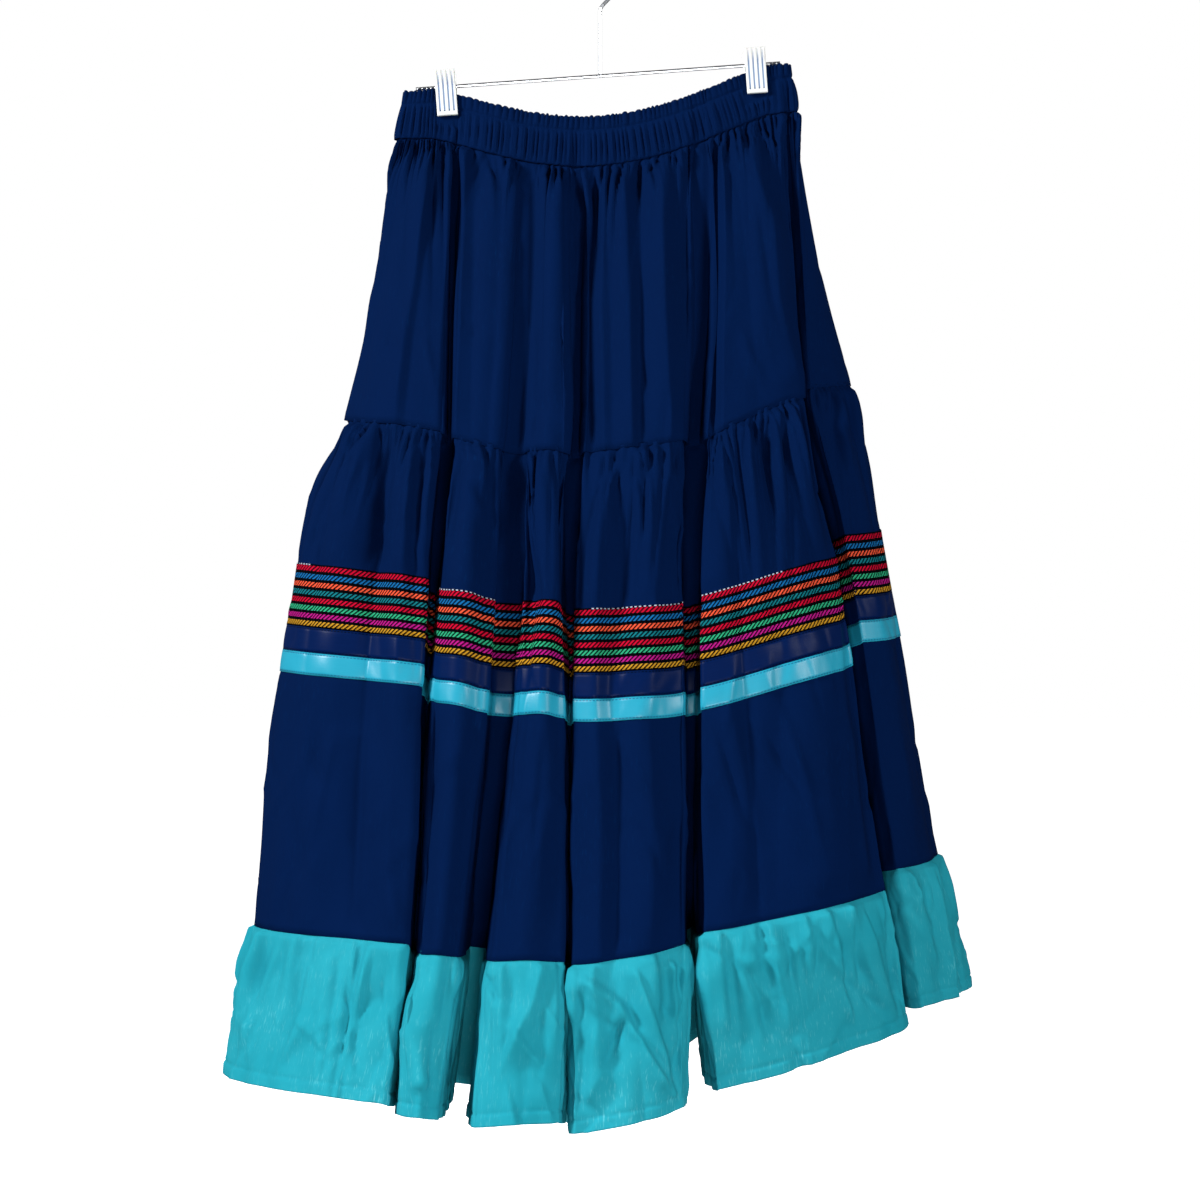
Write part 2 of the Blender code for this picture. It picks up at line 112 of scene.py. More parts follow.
# Places of the side seams: the number of a fold, and the share of the way to the next
LEFT_SEAM, RIGHT_SEAM = -0.29, 4.75
ROUND = len(DEEP_FOLDS)

# How much lower each part of the cloth has settled, in mm: rows down the skirt, columns round it
SETTLED_PLACES = (-1.5, -0.29, -0.15, 0.0, 0.5, 1.0, 1.5, 2.0, 2.5, 3.0, 3.5, 4.0, 4.5, 4.75, 6.0, 8.5)
SETTLED_LENGTHS = (0.0, CASING_END, TIER_SEAM, BRAID_TOP, TURQUOISE_RIBBON_END, FLOUNCE_SEAM, HEM)
SETTLED = (
    (0, 0, 0, 0, 0, 0, 0, 0, 0, 0, 0, 0, 0, 0, 0, 0),
    (0, 0, 0, 0, 0, 0, 0, 0, 0, 0, 0, 0, 0, 0, 0, 0),
    (6, 4, 13, 20, 22, 19, 14, 16, 11, 18, 24, 12, 5, 0, 4, 6),
    (2, -4, 2, 8, 12, 8, 3, 6, 9, 18, 22, 12, -4, -9, 0, 4),
    (2, -8, -4, -1, 8, 4, 0, 1, 4, 14, 20, 9, -9, -11, 0, 2),
    (8, 17, 14, 13, 17, 6, 4, 1, 4, 3, 2, 3, -12, -12, 0, 4),
    (0, 0, -3, -1, 4, -6, -5, -13, -2, -5, -8, -14, -22, -16, 0, 0),
)


def smooth_through(x, xs, ys):
    """Monotone cubic through the points (xs, ys)."""
    xs, ys = np.asarray(xs, float), np.asarray(ys, float)
    step, rise = np.diff(xs), np.diff(ys)
    slope = rise / step
    tangent = np.empty(len(xs))
    tangent[0], tangent[-1] = slope[0], slope[-1]
    same_way = slope[:-1] * slope[1:] > 0
    mean = 2 * slope[:-1] * slope[1:] / np.where(same_way, slope[:-1] + slope[1:], 1.0)
    tangent[1:-1] = np.where(same_way, mean, 0.0)
    i = np.clip(np.searchsorted(xs, x, side="right") - 1, 0, len(xs) - 2)
    t = (x - xs[i]) / step[i]
    return (
        ys[i]
        + tangent[i] * step[i] * t * (1 - t) ** 2
        + rise[i] * t * t * (3 - 2 * t)
        - tangent[i + 1] * step[i] * t * t * (1 - t)
    )


def ease(t):
    """Rises smoothly from 0 to 1 as t does."""
    t = np.clip(t, 0, 1)
    return t * t * (3 - 2 * t)


def close_to(away, width):
    """1 on a line or a seam, and 0 well away from it."""
    return np.exp(-((away / width) ** 2))


def run_along(points):
    """How far along a line each of its points lies."""
    return np.concatenate(([0.0], np.cumsum(np.linalg.norm(np.diff(points, axis=0), axis=1))))


def oval(middle_x, middle_y, half_width, half_depth, square, turn):
    """Points of the plain oval and the share of its length at each, from the left end by the front."""
    angle = np.pi + np.linspace(0, 2 * np.pi, OVAL_SAMPLES + 1)
    along = half_width * np.sign(np.cos(angle)) * np.abs(np.cos(angle)) ** (2 / square)
    across = half_depth * np.sign(np.sin(angle)) * np.abs(np.sin(angle)) ** (2 / square)
    turned = math.radians(turn)
    points = np.stack(
        (
            middle_x + along * math.cos(turned) - across * math.sin(turned),
            middle_y + along * math.sin(turned) + across * math.cos(turned),
        ),
        axis=1,
    )
    run = run_along(points)
    return points, run / run[-1], run[-1]


def oval_share_at(points, share, x, front):
    """The share of the oval's length at which its front or its back is at x."""
    half = OVAL_SAMPLES // 2
    part = slice(0, half + 1) if front else slice(half, OVAL_SAMPLES + 1)
    xs, shares = points[part, 0], share[part]
    inner = slice(xs.argmin(), xs.argmax() + 1) if front else slice(xs.argmax(), xs.argmin() + 1)
    xs, shares = xs[inner], shares[inner]
    return float(np.interp(x, xs, shares)) if front else float(np.interp(-x, -xs, shares))


def outline(length, places):
    """The cloth's outer face at one length down the skirt, as x and y at each place round it."""
    lengths = [row[0] for row in OVALS]
    columns = [[row[k] for row in OVALS] for k in range(1, len(OVALS[0]))]
    *shape, pinch, swell = [float(smooth_through(length, lengths, column)) for column in columns]
    points, share, around = oval(*shape)
    middles, depths, widths = (np.empty(ROUND) for _ in range(3))
    for number, (across, depth, half_width, _, _) in enumerate(DEEP_FOLDS):
        x = float(smooth_through(length, DEEP_FOLD_LENGTHS, across))
        middles[number] = oval_share_at(points, share, x, number < FRONT_FOLDS)
        depths[number] = smooth_through(length, DEEP_FOLD_LENGTHS, depth)
        widths[number] = smooth_through(length, DEEP_FOLD_LENGTHS, half_width) / around
    floors = np.array([row[3] for row in DEEP_FOLDS])
    headings = np.radians([row[4] for row in DEEP_FOLDS])

    fold = np.floor(places).astype(int) % ROUND
    part = places - np.floor(places)
    in_fold = part < 0.5
    across_fold = np.where(in_fold, part * 4, 0.0)
    way_in = 1 - np.abs(across_fold - 1)
    down_wall = np.clip(way_in / FOLD_WALL, 0, 1)
    over_floor = np.clip((way_in - FOLD_WALL) / (1 - FOLD_WALL), 0, 1)
    turned_in = (1 - FOLD_SLANT) * (1 - (1 - down_wall) ** FOLD_ENTRY) + FOLD_SLANT * down_wall
    travel = (1 - floors[fold]) * turned_in + floors[fold] * over_floor
    fold_share = middles[fold] + np.sign(across_fold - 1) * widths[fold] * (1 - travel)
    sunk = np.sin(np.pi / 2 * down_wall) ** 2

    lobe = np.where(in_fold, 0.0, part * 2 - 1)
    start = middles[fold] + widths[fold]
    end = np.append(middles - widths, middles[0] - widths[0] + 1)[fold + 1]
    place_share = np.where(in_fold, fold_share, start + (end - start) * lobe) % 1.0
    swelled = swell * np.sin(np.pi * lobe) ** 2

    xy, ahead, behind = (
        np.stack([np.interp((place_share + nudge) % 1.0, share, points[:, k]) for k in (0, 1)], axis=1)
        for nudge in (0.0, 0.001, -0.001)
    )
    tangent = ahead - behind
    outward = np.stack((tangent[:, 1], -tangent[:, 0]), axis=1)
    outward /= np.linalg.norm(outward, axis=1, keepdims=True)
    depth = np.where(in_fold, depths[fold] * sunk, 0.0)
    xy[:, 0] += depth * np.cos(headings[fold]) + swelled * outward[:, 0]
    xy[:, 1] += depth * np.sin(headings[fold]) + swelled * outward[:, 1]
    if pinch > 0:
        at_clips = sum(close_to(xy[:, 0] - x, CLIP_PINCH_WIDTH) for x in CLIP_X)
        xy[:, 1] *= 1 - pinch * np.clip(at_clips, 0, 1)
    return xy


def top_edge_height(x):
    """Height of the waist's top edge, which sags between the clips."""
    sag = np.clip(1 - (x / SAG_HALF_SPAN) ** 2, 0, None) ** SAG_SHAPE
    return -BAR_BELOW_ORIGIN + np.tan(BAR_TILT) * x - EDGE_BELOW_BAR - WAIST_SAG * sag


def settled_by(length, places):
    """How much lower the cloth has settled at one length, in metres."""
    first = SETTLED_PLACES[0]
    wrapped = (places - first) % ROUND + first
    rows = [np.interp(wrapped, SETTLED_PLACES, row, period=ROUND) for row in SETTLED]
    i = int(np.clip(np.searchsorted(SETTLED_LENGTHS, length, side="right") - 1, 0, len(rows) - 2))
    t = ease((length - SETTLED_LENGTHS[i]) / (SETTLED_LENGTHS[i + 1] - SETTLED_LENGTHS[i]))
    return (rows[i] * (1 - t) + rows[i + 1] * t) / 1000


def hang(places, lengths):
    """The cloth's plain face in 3-D. Each thread hangs at its true length, so where it runs outwards it
    reaches less far down."""
    marks = np.unique(np.round(np.append(np.arange(0, max(lengths), LENGTH_STEP), lengths), 6))
    xy = outline(0.0, places)
    height = top_edge_height(xy[:, 0])
    at_side = np.clip(np.abs(xy[:, 0]) / OVALS[0][3], 0, 1) ** 6
    at_side *= np.where(xy[:, 0] < 0, *SIDE_TAKE_UP)
    found = {}
    for previous, length in zip(np.append(0.0, marks[:-1]), marks):
        moved = outline(length, places)
        step = length - previous
        sideways = np.minimum(np.linalg.norm(moved - xy, axis=1), 0.8 * step)
        height = height - np.sqrt(step**2 - sideways**2)
        xy = moved
        up = at_side * min(length / TAKE_UP_LENGTH, 1.0) - settled_by(length, places)
        found[length] = np.column_stack((xy, height + up))
    return np.array([found[round(length, 6)] for length in lengths])


def even_places(start, end, length, pitch):
    """Places between two seams at an even pitch of cloth, measured at one length, with one more past
    each end, and how far round each lies."""
    fine = np.linspace(start, end, 6001)
    run = run_along(outline(length, fine))
    even = np.linspace(0, run[-1], int(round(run[-1] / pitch)) + 1)
    places = np.interp(even, run, fine)
    first, last = 2 * places[0] - places[1], 2 * places[-1] - places[-2]
    around = np.concatenate(([even[0] - even[1]], even, [even[-1] + even[1]]))
    return np.concatenate(([first], places, [last])), around


def face_directions(points):
    """Unit vectors that point out of the skirt, at each point of a grid of rows down and columns round."""
    out = np.cross(np.gradient(points, axis=0), np.gradient(points, axis=1))
    return out / np.maximum(np.linalg.norm(out, axis=2, keepdims=True), 1e-12)


VIEW_DISTANCE, VIEW_HEIGHT = 2.4, -0.639  # the skirt is seen level, from this far in front of its middle


def seen_from_front(points):
    """Where each point shows, in mm across and down a view that takes in 1.2 m at the middle."""
    nearer = VIEW_DISTANCE / (VIEW_DISTANCE + points[..., 1])
    return 600 + 1000 * points[..., 0] * nearer, 600 - 1000 * (points[..., 2] - VIEW_HEIGHT) * nearer


def meet_at_sides(around, over):
    """1 across the cloth and 0 at its side seams, where the front and the back lie edge to edge."""
    return ease(np.minimum(around - around[1], around[-2] - around) / over)


PUCKERED = 6.0  # metres of cloth that puckers and gathers are laid out for, more than any piece has


def puckers(around, pitch, seed):
    """Rows of rounded ridges with sharp valleys between them, unevenly spaced, at each point round."""
    rng = np.random.default_rng(seed)
    count = int(PUCKERED / pitch)
    edges = np.cumsum(pitch * rng.uniform(0.55, 1.45, count)) - 0.5
    heights = rng.uniform(0.45, 1.0, count)
    i = np.clip(np.searchsorted(edges, around) - 1, 0, count - 2)
    t = (around - edges[i]) / (edges[i + 1] - edges[i])
    return heights[i] * (1 - np.abs(2 * t - 1) ** 2.6)


def cloth_mesh(name, points, across, down):
    """A sheet through a grid of points, with the cloth's own metres across and down as its UV map."""
    rows, columns = points.shape[:2]
    corner = np.arange(rows * columns).reshape(rows, columns)
    quads = np.stack((corner[:-1, :-1], corner[1:, :-1], corner[1:, 1:], corner[:-1, 1:]), axis=-1)
    quads = quads.reshape(-1, 4)
    mesh = bpy.data.meshes.new(name)
    mesh.vertices.add(rows * columns)
    mesh.vertices.foreach_set("co", points.reshape(-1).astype(np.float32))
    mesh.loops.add(quads.size)
    mesh.loops.foreach_set("vertex_index", quads.reshape(-1).astype(np.int32))
    mesh.polygons.add(len(quads))
    mesh.polygons.foreach_set("loop_start", np.arange(0, quads.size, 4, dtype=np.int32))
    mesh.update(calc_edges=True)
    uv = np.stack(np.broadcast_arrays(across, down), axis=-1).reshape(-1, 2)[quads.reshape(-1)]
    mesh.uv_layers.new(name="cloth").data.foreach_set("uv", uv.reshape(-1).astype(np.float32))
    mesh.validate()
    mesh.shade_smooth()
    return mesh


def hang_piece(node, kind, material, points, around, down, wall, flat):
    """Hangs one piece of cloth: a thin shell through the grid, standing for its CAD node. The columns
    past its side seams, which were there for the slopes at its edges, come off."""
    name = f"{node}_{kind}"
    across = around[1:-1] * (flat[0] / around[-2])
    piece = bpy.data.objects.new(name, cloth_mesh(name, points[:, 1:-1], across, down))
    bpy.context.scene.collection.objects.link(piece)
    piece.data.materials.append(material)
    shell = piece.modifiers.new("cloth thickness", "SOLIDIFY")
    shell.thickness = wall
    shell.offset = -1.0
    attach(piece, "root")
    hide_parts(node)


def linear(code):
    """An sRGB hex colour as linear red, green, blue and alpha."""
    parts = [int(code[i : i + 2], 16) / 255 for i in (1, 3, 5)]
    return (*[p / 12.92 if p <= 0.04045 else ((p + 0.055) / 1.055) ** 2.4 for p in parts], 1.0)


def set_sockets(tree, node, sockets):
    """Sets a node's sockets, or links them to an output, or to another node's first output."""
    for socket, value in sockets.items():
        if isinstance(value, bpy.types.Node):
            value = value.outputs[0]
        if isinstance(value, bpy.types.NodeSocket):
            tree.links.new(value, node.inputs[socket])
        else:
            node.inputs[socket].default_value = value


def add_node(tree, kind, sockets=None, **settings):
    """Adds a node with its settings, and sets or links its sockets."""
    made = tree.nodes.new("ShaderNode" + kind)
    for name, value in settings.items():
        setattr(made, name, value)
    set_sockets(tree, made, sockets or {})
    return made


def new_finish(name):
    """A new material with a Principled shader, and its tree."""
    made = bpy.data.materials.new(name)
    made.use_nodes = True
    return made, made.node_tree, made.node_tree.nodes["Principled BSDF"]


WEAVE_PITCH = 0.0011  # from thread to thread, as drawn


def cotton(name, colour, streak, thread, slub, from_down=0.0):
    """Plain-woven cotton: matt, with slightly paler thick threads in patches. The threads
    are 0.3 mm apart in the real cloth and are drawn at 1.1 mm, so that they show."""
    made, tree, shader = new_finish(name)
    uv = add_node(tree, "UVMap", uv_map="cloth")
    metres = add_node(tree, "SeparateXYZ", {"Vector": uv})
    weave = []
    for direction in metres.outputs[:2]:
        turns = add_node(tree, "Math", {0: direction, 1: 2 * math.pi / WEAVE_PITCH}, operation="MULTIPLY")
        weave.append(add_node(tree, "Math", {0: turns}, operation="SINE"))
    woven = add_node(tree, "Math", {0: weave[0], 1: weave[1]}, operation="MULTIPLY")
    # Thicker threads run a few centimetres down the cloth and across it.
    streaks = []
    for scale in ((1100.0, 36.0, 1.0), (500.0, 110.0, 1.0)):
        stretched = add_node(tree, "Mapping", {"Vector": uv, "Scale": scale})
        streaks.append(add_node(tree, "TexNoise", {"Vector": stretched, "Scale": 1.0, "Detail": 2.0}))
    both = add_node(tree, "Math", {0: streaks[0], 1: streaks[1]}, operation="ADD")
    amount = add_node(tree, "MapRange", {"Value": both, "From Min": 1.10, "From Max": 1.50})
    cloud = add_node(tree, "TexNoise", {"Vector": uv, "Scale": 9.0, "Detail": 4.0, "Roughness": 0.6})
    patch = add_node(tree, "MapRange", {"Value": cloud, "From Min": 0.40, "From Max": 0.72, "To Min": 0.12})
    # They show less above a length down the piece, which is from_down.
    lower = add_node(
        tree, "MapRange",
        {"Value": metres.outputs["Y"], "From Min": from_down - 0.06, "From Max": from_down, "To Min": 0.45},
    )
    patch = add_node(tree, "Math", {0: patch, 1: lower}, operation="MULTIPLY")
    shown = add_node(tree, "Math", {0: amount, 1: patch}, operation="MULTIPLY")
    base = add_node(tree, "Mix", {0: cloud, 6: linear(colour), 7: linear(thread)}, data_type="RGBA")
    tinted = add_node(tree, "Mix", {0: shown, 6: base.outputs[2], 7: linear(streak)}, data_type="RGBA")
    height = add_node(tree, "Math", {0: shown, 1: slub, 2: woven}, operation="MULTIPLY_ADD")
    bump = add_node(tree, "Bump", {"Strength": 0.35, "Distance": 0.0003, "Height": height})
    set_sockets(tree, shader, {
        "Base Color": tinted.outputs[2], "Roughness": 0.85, "Specular IOR Level": 0.03, "Normal": bump,
    })
    return made


navy_cotton = cotton("navy cotton poplin", "#001741", "#00214E", "#00143A", 0.0)

CASING_PUCKER = 0.0064  # one pucker of the channel
HEADER_PUCKER = 0.0052
CHANNEL_HEIGHT, HEADER_HEIGHT = 0.0050, 0.0034  # how far the puckers stand out
PUCKER_MIDDLE = 0.35  # the share of that which lies inside the plain face
CLIP_HALF_WIDTH = 0.0135  # the jaws press the puckers flat over this much to each side
JAW_REACH = 0.031  # and this far down
CASING_CUT = 1.16  # metres of cloth round the casing, which the elastic draws in
CASING_WALL, POPLIN_WALL = 0.0016, 0.0009
# From column to column of the mesh, finer where more shows, and where each side starts in the gathers
CASING_PITCH = {"front": 0.00092, "back": 0.0013}
CASING_START = {"front": 0.0, "back": 0.415}
SIDES = (("front", LEFT_SEAM, RIGHT_SEAM), ("back", RIGHT_SEAM, ROUND + LEFT_SEAM))

casing_lengths = np.concatenate(
    (np.linspace(0, CASING_STITCH, 11), np.linspace(CASING_STITCH, CASING_END, 25)[1:])
)
for side, start, end in SIDES:
    places, around = even_places(start, end, CASING_END, CASING_PITCH[side])
    plain = hang(places, casing_lengths)
    outwards = face_directions(plain)
    down = casing_lengths[:, None]
    x = plain[..., 0]
    slant = 0.55 * np.clip((top_edge_height(x + 0.004) - top_edge_height(x - 0.004)) / 0.008, -0.1, 0.5)
    line = around[None, :] + CASING_START[side] - slant * down * (1 if side == "front" else -1)
    channel = puckers(line, CASING_PUCKER, 11) * 0.75 + puckers(line, CASING_PUCKER * 0.53, 12) * 0.30
    header = puckers(line, HEADER_PUCKER, 13)
    in_header = np.clip(1 - down / CASING_STITCH, 0, 1)
    in_channel = np.clip((down - CASING_STITCH) / (CASING_END - CASING_STITCH), 0, 1)
    swell = np.sin(np.pi * in_channel) ** 0.6
    relief = CHANNEL_HEIGHT * swell * (channel - PUCKER_MIDDLE)
    relief += HEADER_HEIGHT * in_header**0.5 * (header - PUCKER_MIDDLE)
    relief -= 0.0010 * close_to(down - CASING_STITCH, 0.0016)
    relief -= 0.0008 * close_to(down - CASING_END, 0.0020)
    pressed = sum(np.exp(-(((x - clip) / CLIP_HALF_WIDTH) ** 6)) for clip in CLIP_X)
    pressed = pressed * (1 - ease((down - JAW_REACH) / 0.006))
    relief = np.where(pressed > 0.02, relief * (1 - pressed) - 0.0002 * pressed, relief)
    relief *= meet_at_sides(around, 0.004)
    points = plain + outwards * relief[..., None]
    points[..., 2] += 0.0016 * (header - 0.4) * in_header**2 * (1 - pressed)
    hang_piece(
        f"waist_casing_{side}", "cloth", navy_cotton, points, around, down, CASING_WALL,
        (CASING_CUT / 2, CASING_END),
    )

# Upper tier. A straight width of the same poplin, gathered into the casing. Its gathers run together
# on the way down into the long soft folds that the skirt hangs in.


def gathers(around, down, pitch, height, reach, seed, lean, sharp=2.2):
    """Rounded ridges with sharp valleys between them, which start along a gathered seam and die out on
    the way down, as uneven in place, slant, height and length as hand-fed gathers are."""
    rng = np.random.default_rng(seed)
    slant = 0
    for _ in range(4):
        size, wave, phase = rng.uniform(0.3, 1.0), pitch * rng.uniform(3.0, 9.0), rng.uniform(0, 6.28)
        slant = slant + size * np.sin(2 * np.pi / wave * around + phase)
    slant = slant * lean / 2
    at = around[None, :] + slant[None, :] * np.minimum(down, 1.5 * reach)
    count = int(PUCKERED / pitch)
    edges = np.cumsum(pitch * rng.uniform(0.5, 1.5, count)) - 1.0
    heights = rng.uniform(0.3, 1.0, count)
    reaches = reach * rng.uniform(0.35, 1.4, count)
    skews = rng.uniform(-0.28, 0.28, count)
    i = np.clip(np.searchsorted(edges, at) - 1, 0, count - 2)
    t = np.clip((at - edges[i]) / (edges[i + 1] - edges[i]), 0, 1)
    t = t ** np.exp(skews[i])
    ridge = 1 - np.abs(2 * t - 1) ** sharp
    fade = close_to(down, reaches[i])
    return height * (heights[i] * fade * ridge - 0.40 * close_to(down, reach))


LEFT_IN_FOLDS = 0.12  # share of a gather's height that is left deep in a fold


def calm_in_folds(places):
    """1 on the lobes between the deep folds, and less inside the folds, where the cloth is held close."""
    part = places - np.floor(places)
    inside = np.where(part < 0.5, np.sin(np.pi * np.clip(part / 0.5, 0, 1)), 0.0) ** 0.7
    return 1 - (1 - LEFT_IN_FOLDS) * inside


def facing_front(outwards):
    """1 where the cloth faces the front, and 0 from where it turns to the side."""
    return ease((-outwards[..., 1] - 0.10) / 0.35)


def facing_side(outwards):
    """1 where the cloth faces a side, and 0 where it faces the front or the back."""
    return 1 - ease((np.abs(outwards[..., 1]) - 0.10) / 0.5)


def line_at(points, down):
    """How far across a crease's line lies at each distance down."""
    return np.interp(down, [p[1] for p in points], [p[0] for p in points])


def creases(points, outwards, rows):
    """Soft ridges and troughs along lines of the front view, on cloth that faces it. A row is a line's
    points, its height in mm, its widths to the left and right, and the share that fades in and out."""
    across, down = seen_from_front(points)
    facing = facing_front(outwards)
    relief = np.zeros(across.shape)
    for line, height, left, right, fade_in, fade_out in rows:
        top, foot = line[0][1], line[-1][1]
        near = (down > top - 12) & (down < foot + 12)
        if not near.any():
            continue
        away = across[near] - line_at(line, down[near])
        wide = np.where(away < 0, left, right)
        share = (down[near] - top) / (foot - top)
        fade = ease(share / fade_in) if fade_in > 0 else ease(1 + share * 8)
        fade = fade * ease((1 - share) / fade_out)
        relief[near] += height * fade * np.exp(-np.abs(away / wide) ** 1.6)
    return relief * facing / 1000


def folded(points, outwards, lines):
    """Long folds between lines of the front view. Each line has its height in mm, out or in, and the cloth
    runs almost straight from one line to the next, as it does between a fold's edge and its foot."""
    across, down = seen_from_front(points)
    facing = facing_front(outwards)
    at = np.array([line_at(line, down) for line, _ in lines])
    heights = np.array([height for _, height in lines], float)
    which = np.clip((across[None] > at).sum(axis=0) - 1, 0, len(lines) - 2)
    left = np.take_along_axis(at, which[None], axis=0)[0]
    right = np.take_along_axis(at, which[None] + 1, axis=0)[0]
    t = np.clip((across - left) / np.maximum(right - left, 1e-6), 0, 1)
    t = 0.6 * t + 0.4 * t * t * (3 - 2 * t)
    outside = (across < at[0]) | (across > at[-1])
    return np.where(outside, 0.0, heights[which] * (1 - t) + heights[which + 1] * t) * facing / 1000


def crumples(around, down, reach, count, height, seed, total=4.2):
    """Short straight creases, ridges and troughs, at all slants, where the cloth has been crushed."""
    rng = np.random.default_rng(seed)
    relief = np.zeros(np.broadcast(around, down).shape)
    for _ in range(count):
        a, d = rng.uniform(-0.1, total), rng.uniform(0.0, reach)
        angle = rng.normal(0.0, 0.65)
        half, wide, narrow = rng.uniform(0.018, 0.055), rng.uniform(0.008, 0.020), rng.uniform(0.003, 0.007)
        tall = height * rng.uniform(0.4, 1.0) * rng.choice((-1.0, 1.0))
        near = np.abs(around - a) < half + wide
        along = (around[near][None, :] - a) * math.sin(angle) + (down - d) * math.cos(angle)
        across = (around[near][None, :] - a) * math.cos(angle) - (down - d) * math.sin(angle)
        tent = np.clip(1 - np.abs(across) / np.where(across < 0, wide, narrow), 0, None)
        relief[:, near] += tall * tent * np.clip(1 - (along / half) ** 2, 0, None)
    return relief


def gentle_waves(around, down, height, seed):
    """Slow unevenness that no hanging cloth is without."""
    rng = np.random.default_rng(seed)
    relief = np.zeros(np.broadcast(around, down).shape)
    waves = 14
    for _ in range(waves):
        per_metre = rng.uniform(5, 30)
        slope = rng.uniform(-0.35, 0.35)
        swing = np.sin(2 * np.pi * (per_metre * (around[None, :] + slope * down)) + rng.uniform(0, 6.28))
        slow = np.cos(2 * np.pi * rng.uniform(0.8, 3.0) * down + rng.uniform(0, 6.28))
        relief += swing * slow
    return relief * height / math.sqrt(waves)


UPPER_CUT = 1.56
# Gathers, from the finest to the longest: pitch, height, reach down the cloth, seed, lean, sharpness
UPPER_FINEST = (0.0070, 0.0066, 0.022, 25, 0.4)
UPPER_FINE = (0.0115, 0.0098, 0.040, 21, 0.3, 2.4)
UPPER_MIDDLING = (0.024, 0.0085, 0.100, 22, 0.2)
UPPER_LONG = (0.046, 0.0140, 0.420, 23, 0.03)  # on the back only: the front's long folds are drawn
UPPER_CRUMPLES = (0.29, 160, 0.0017, 26, 2.2)  # reach, number, height, seed, length of cloth crumpled
UPPER_RAISED = (1.25, 2.0)  # how many times their stated height the folds and the creases are made
UPPER_PITCH = {"front": 0.00165, "back": 0.0023}
UPPER_START = {"front": 0.0, "back": 1.0}
# Folds, from the left: a line's points across and down the front view, and its height out or in, in mm
UPPER_FOLDS = (
    (((385, 150), (374, 215), (362, 300), (350, 360), (330, 440)), 0),
    (((402, 150), (393, 215), (381, 272), (370, 330), (350, 440)), -3),
    (((417, 150), (409, 215), (399, 284), (388, 330), (372, 440)), 2),
    (((433, 148), (423, 215), (416, 284), (407, 330), (394, 440)), 6),
    (((440, 148), (430, 215), (423, 284), (415, 330), (403, 440)), 1),
    (((449, 144), (447, 238), (443, 307), (440, 352), (436, 440)), 0),
    (((457, 143), (456, 238), (452, 307), (450, 352), (446, 440)), -9),
    (((465, 150), (463, 240), (460, 340), (456, 440)), 5),
    (((486, 166), (474, 200), (473, 300), (470, 440)), -1),
    (((498, 166), (496, 240), (492, 300), (484, 440)), 4),
    (((523, 167), (523, 207), (522, 238), (518, 302), (511, 352), (504, 440)), 10),
    (((531, 168), (532, 240), (532, 300), (528, 360), (518, 440)), -3),
    (((553, 170), (555, 240), (556, 284), (561, 341), (562, 440)), 9),
    (((596, 170), (596, 238), (589, 284), (587, 330), (592, 440)), -8),
    (((603, 170), (603, 240), (601, 300), (603, 360), (604, 440)), 2),
    (((607, 168), (607, 240), (611, 318), (613, 440)), 0),
    (((625, 166), (627, 220), (630, 330), (632, 440)), 5),
    (((640, 164), (641, 230), (640, 330), (641, 440)), -3),
    (((663, 160), (661, 239), (663, 315), (670, 440)), 9),
    (((686, 152), (687, 220), (689, 290), (690, 440)), -4),
    (((695, 148), (694, 220), (694, 300), (694, 440)), 1),
    (((716, 142), (718, 188), (717, 264), (715, 341), (714, 440)), -8),
    (((721, 142), (724, 190), (725, 264), (723, 341), (723, 440)), 4),
    (((729, 142), (738, 190), (745, 249), (750, 300), (760, 440)), 1),
    (((737, 140), (753, 172), (770, 223), (774, 300), (790, 366), (806, 440)), 9),
    (((764, 125), (783, 157), (785, 188), (796, 251), (806, 330), (830, 440)), -3),
    (((800, 115), (812, 157), (822, 188), (840, 251), (850, 330), (870, 440)), 3),
)
# Creases: points, height, widths to the left and right in mm, and the shares that fade in and out
UPPER_CREASES = (
    (((762, 128), (772, 142), (782, 156)), 2.4, 5, 3, 0.1, 0.3),
    (((755, 196), (762, 240), (770, 300), (780, 350)), -1.6, 5, 4, 0.3, 0.4),
    (((457, 313), (470, 330), (487, 350)), -1.8, 4, 4, 0.4, 0.4),
    (((462, 330), (478, 344), (496, 356)), 1.4, 4, 4, 0.4, 0.4),
    (((540, 396), (548, 412), (556, 430)), -1.6, 4, 4, 0.4, 0.4),
    (((521, 300), (528, 330), (540, 362)), 1.4, 4, 4, 0.3, 0.4),
    (((575, 330), (580, 352), (590, 380)), 1.4, 5, 4, 0.3, 0.4),
    (((690, 240), (697, 252), (708, 262)), 1.6, 4, 4, 0.3, 0.4),
    (((383, 330), (392, 350), (405, 366)), -1.4, 4, 4, 0.3, 0.4),
    (((425, 330), (430, 365), (438, 400)), 1.4, 5, 4, 0.3, 0.4),
    (((640, 350), (646, 380), (655, 415)), -1.4, 5, 4, 0.3, 0.4),
    (((738, 330), (750, 356), (768, 392)), 1.6, 6, 4, 0.3, 0.4),
)
SEAM_DENT = 0.0025  # how far from a seam the stitches draw the cloth in
SIDE_FADE = 0.10  # the cloth is drawn in at the sides over about this far below a seam
SEAM_TURNING = 0.003  # each tier starts this much above its seam, behind the cloth it hangs from


def behind_seam(below, wall):
    """How much further in the cloth lies above its seam, where it is turned in behind the piece above."""
    return wall * ease(0.5 - below / SEAM_TURNING)


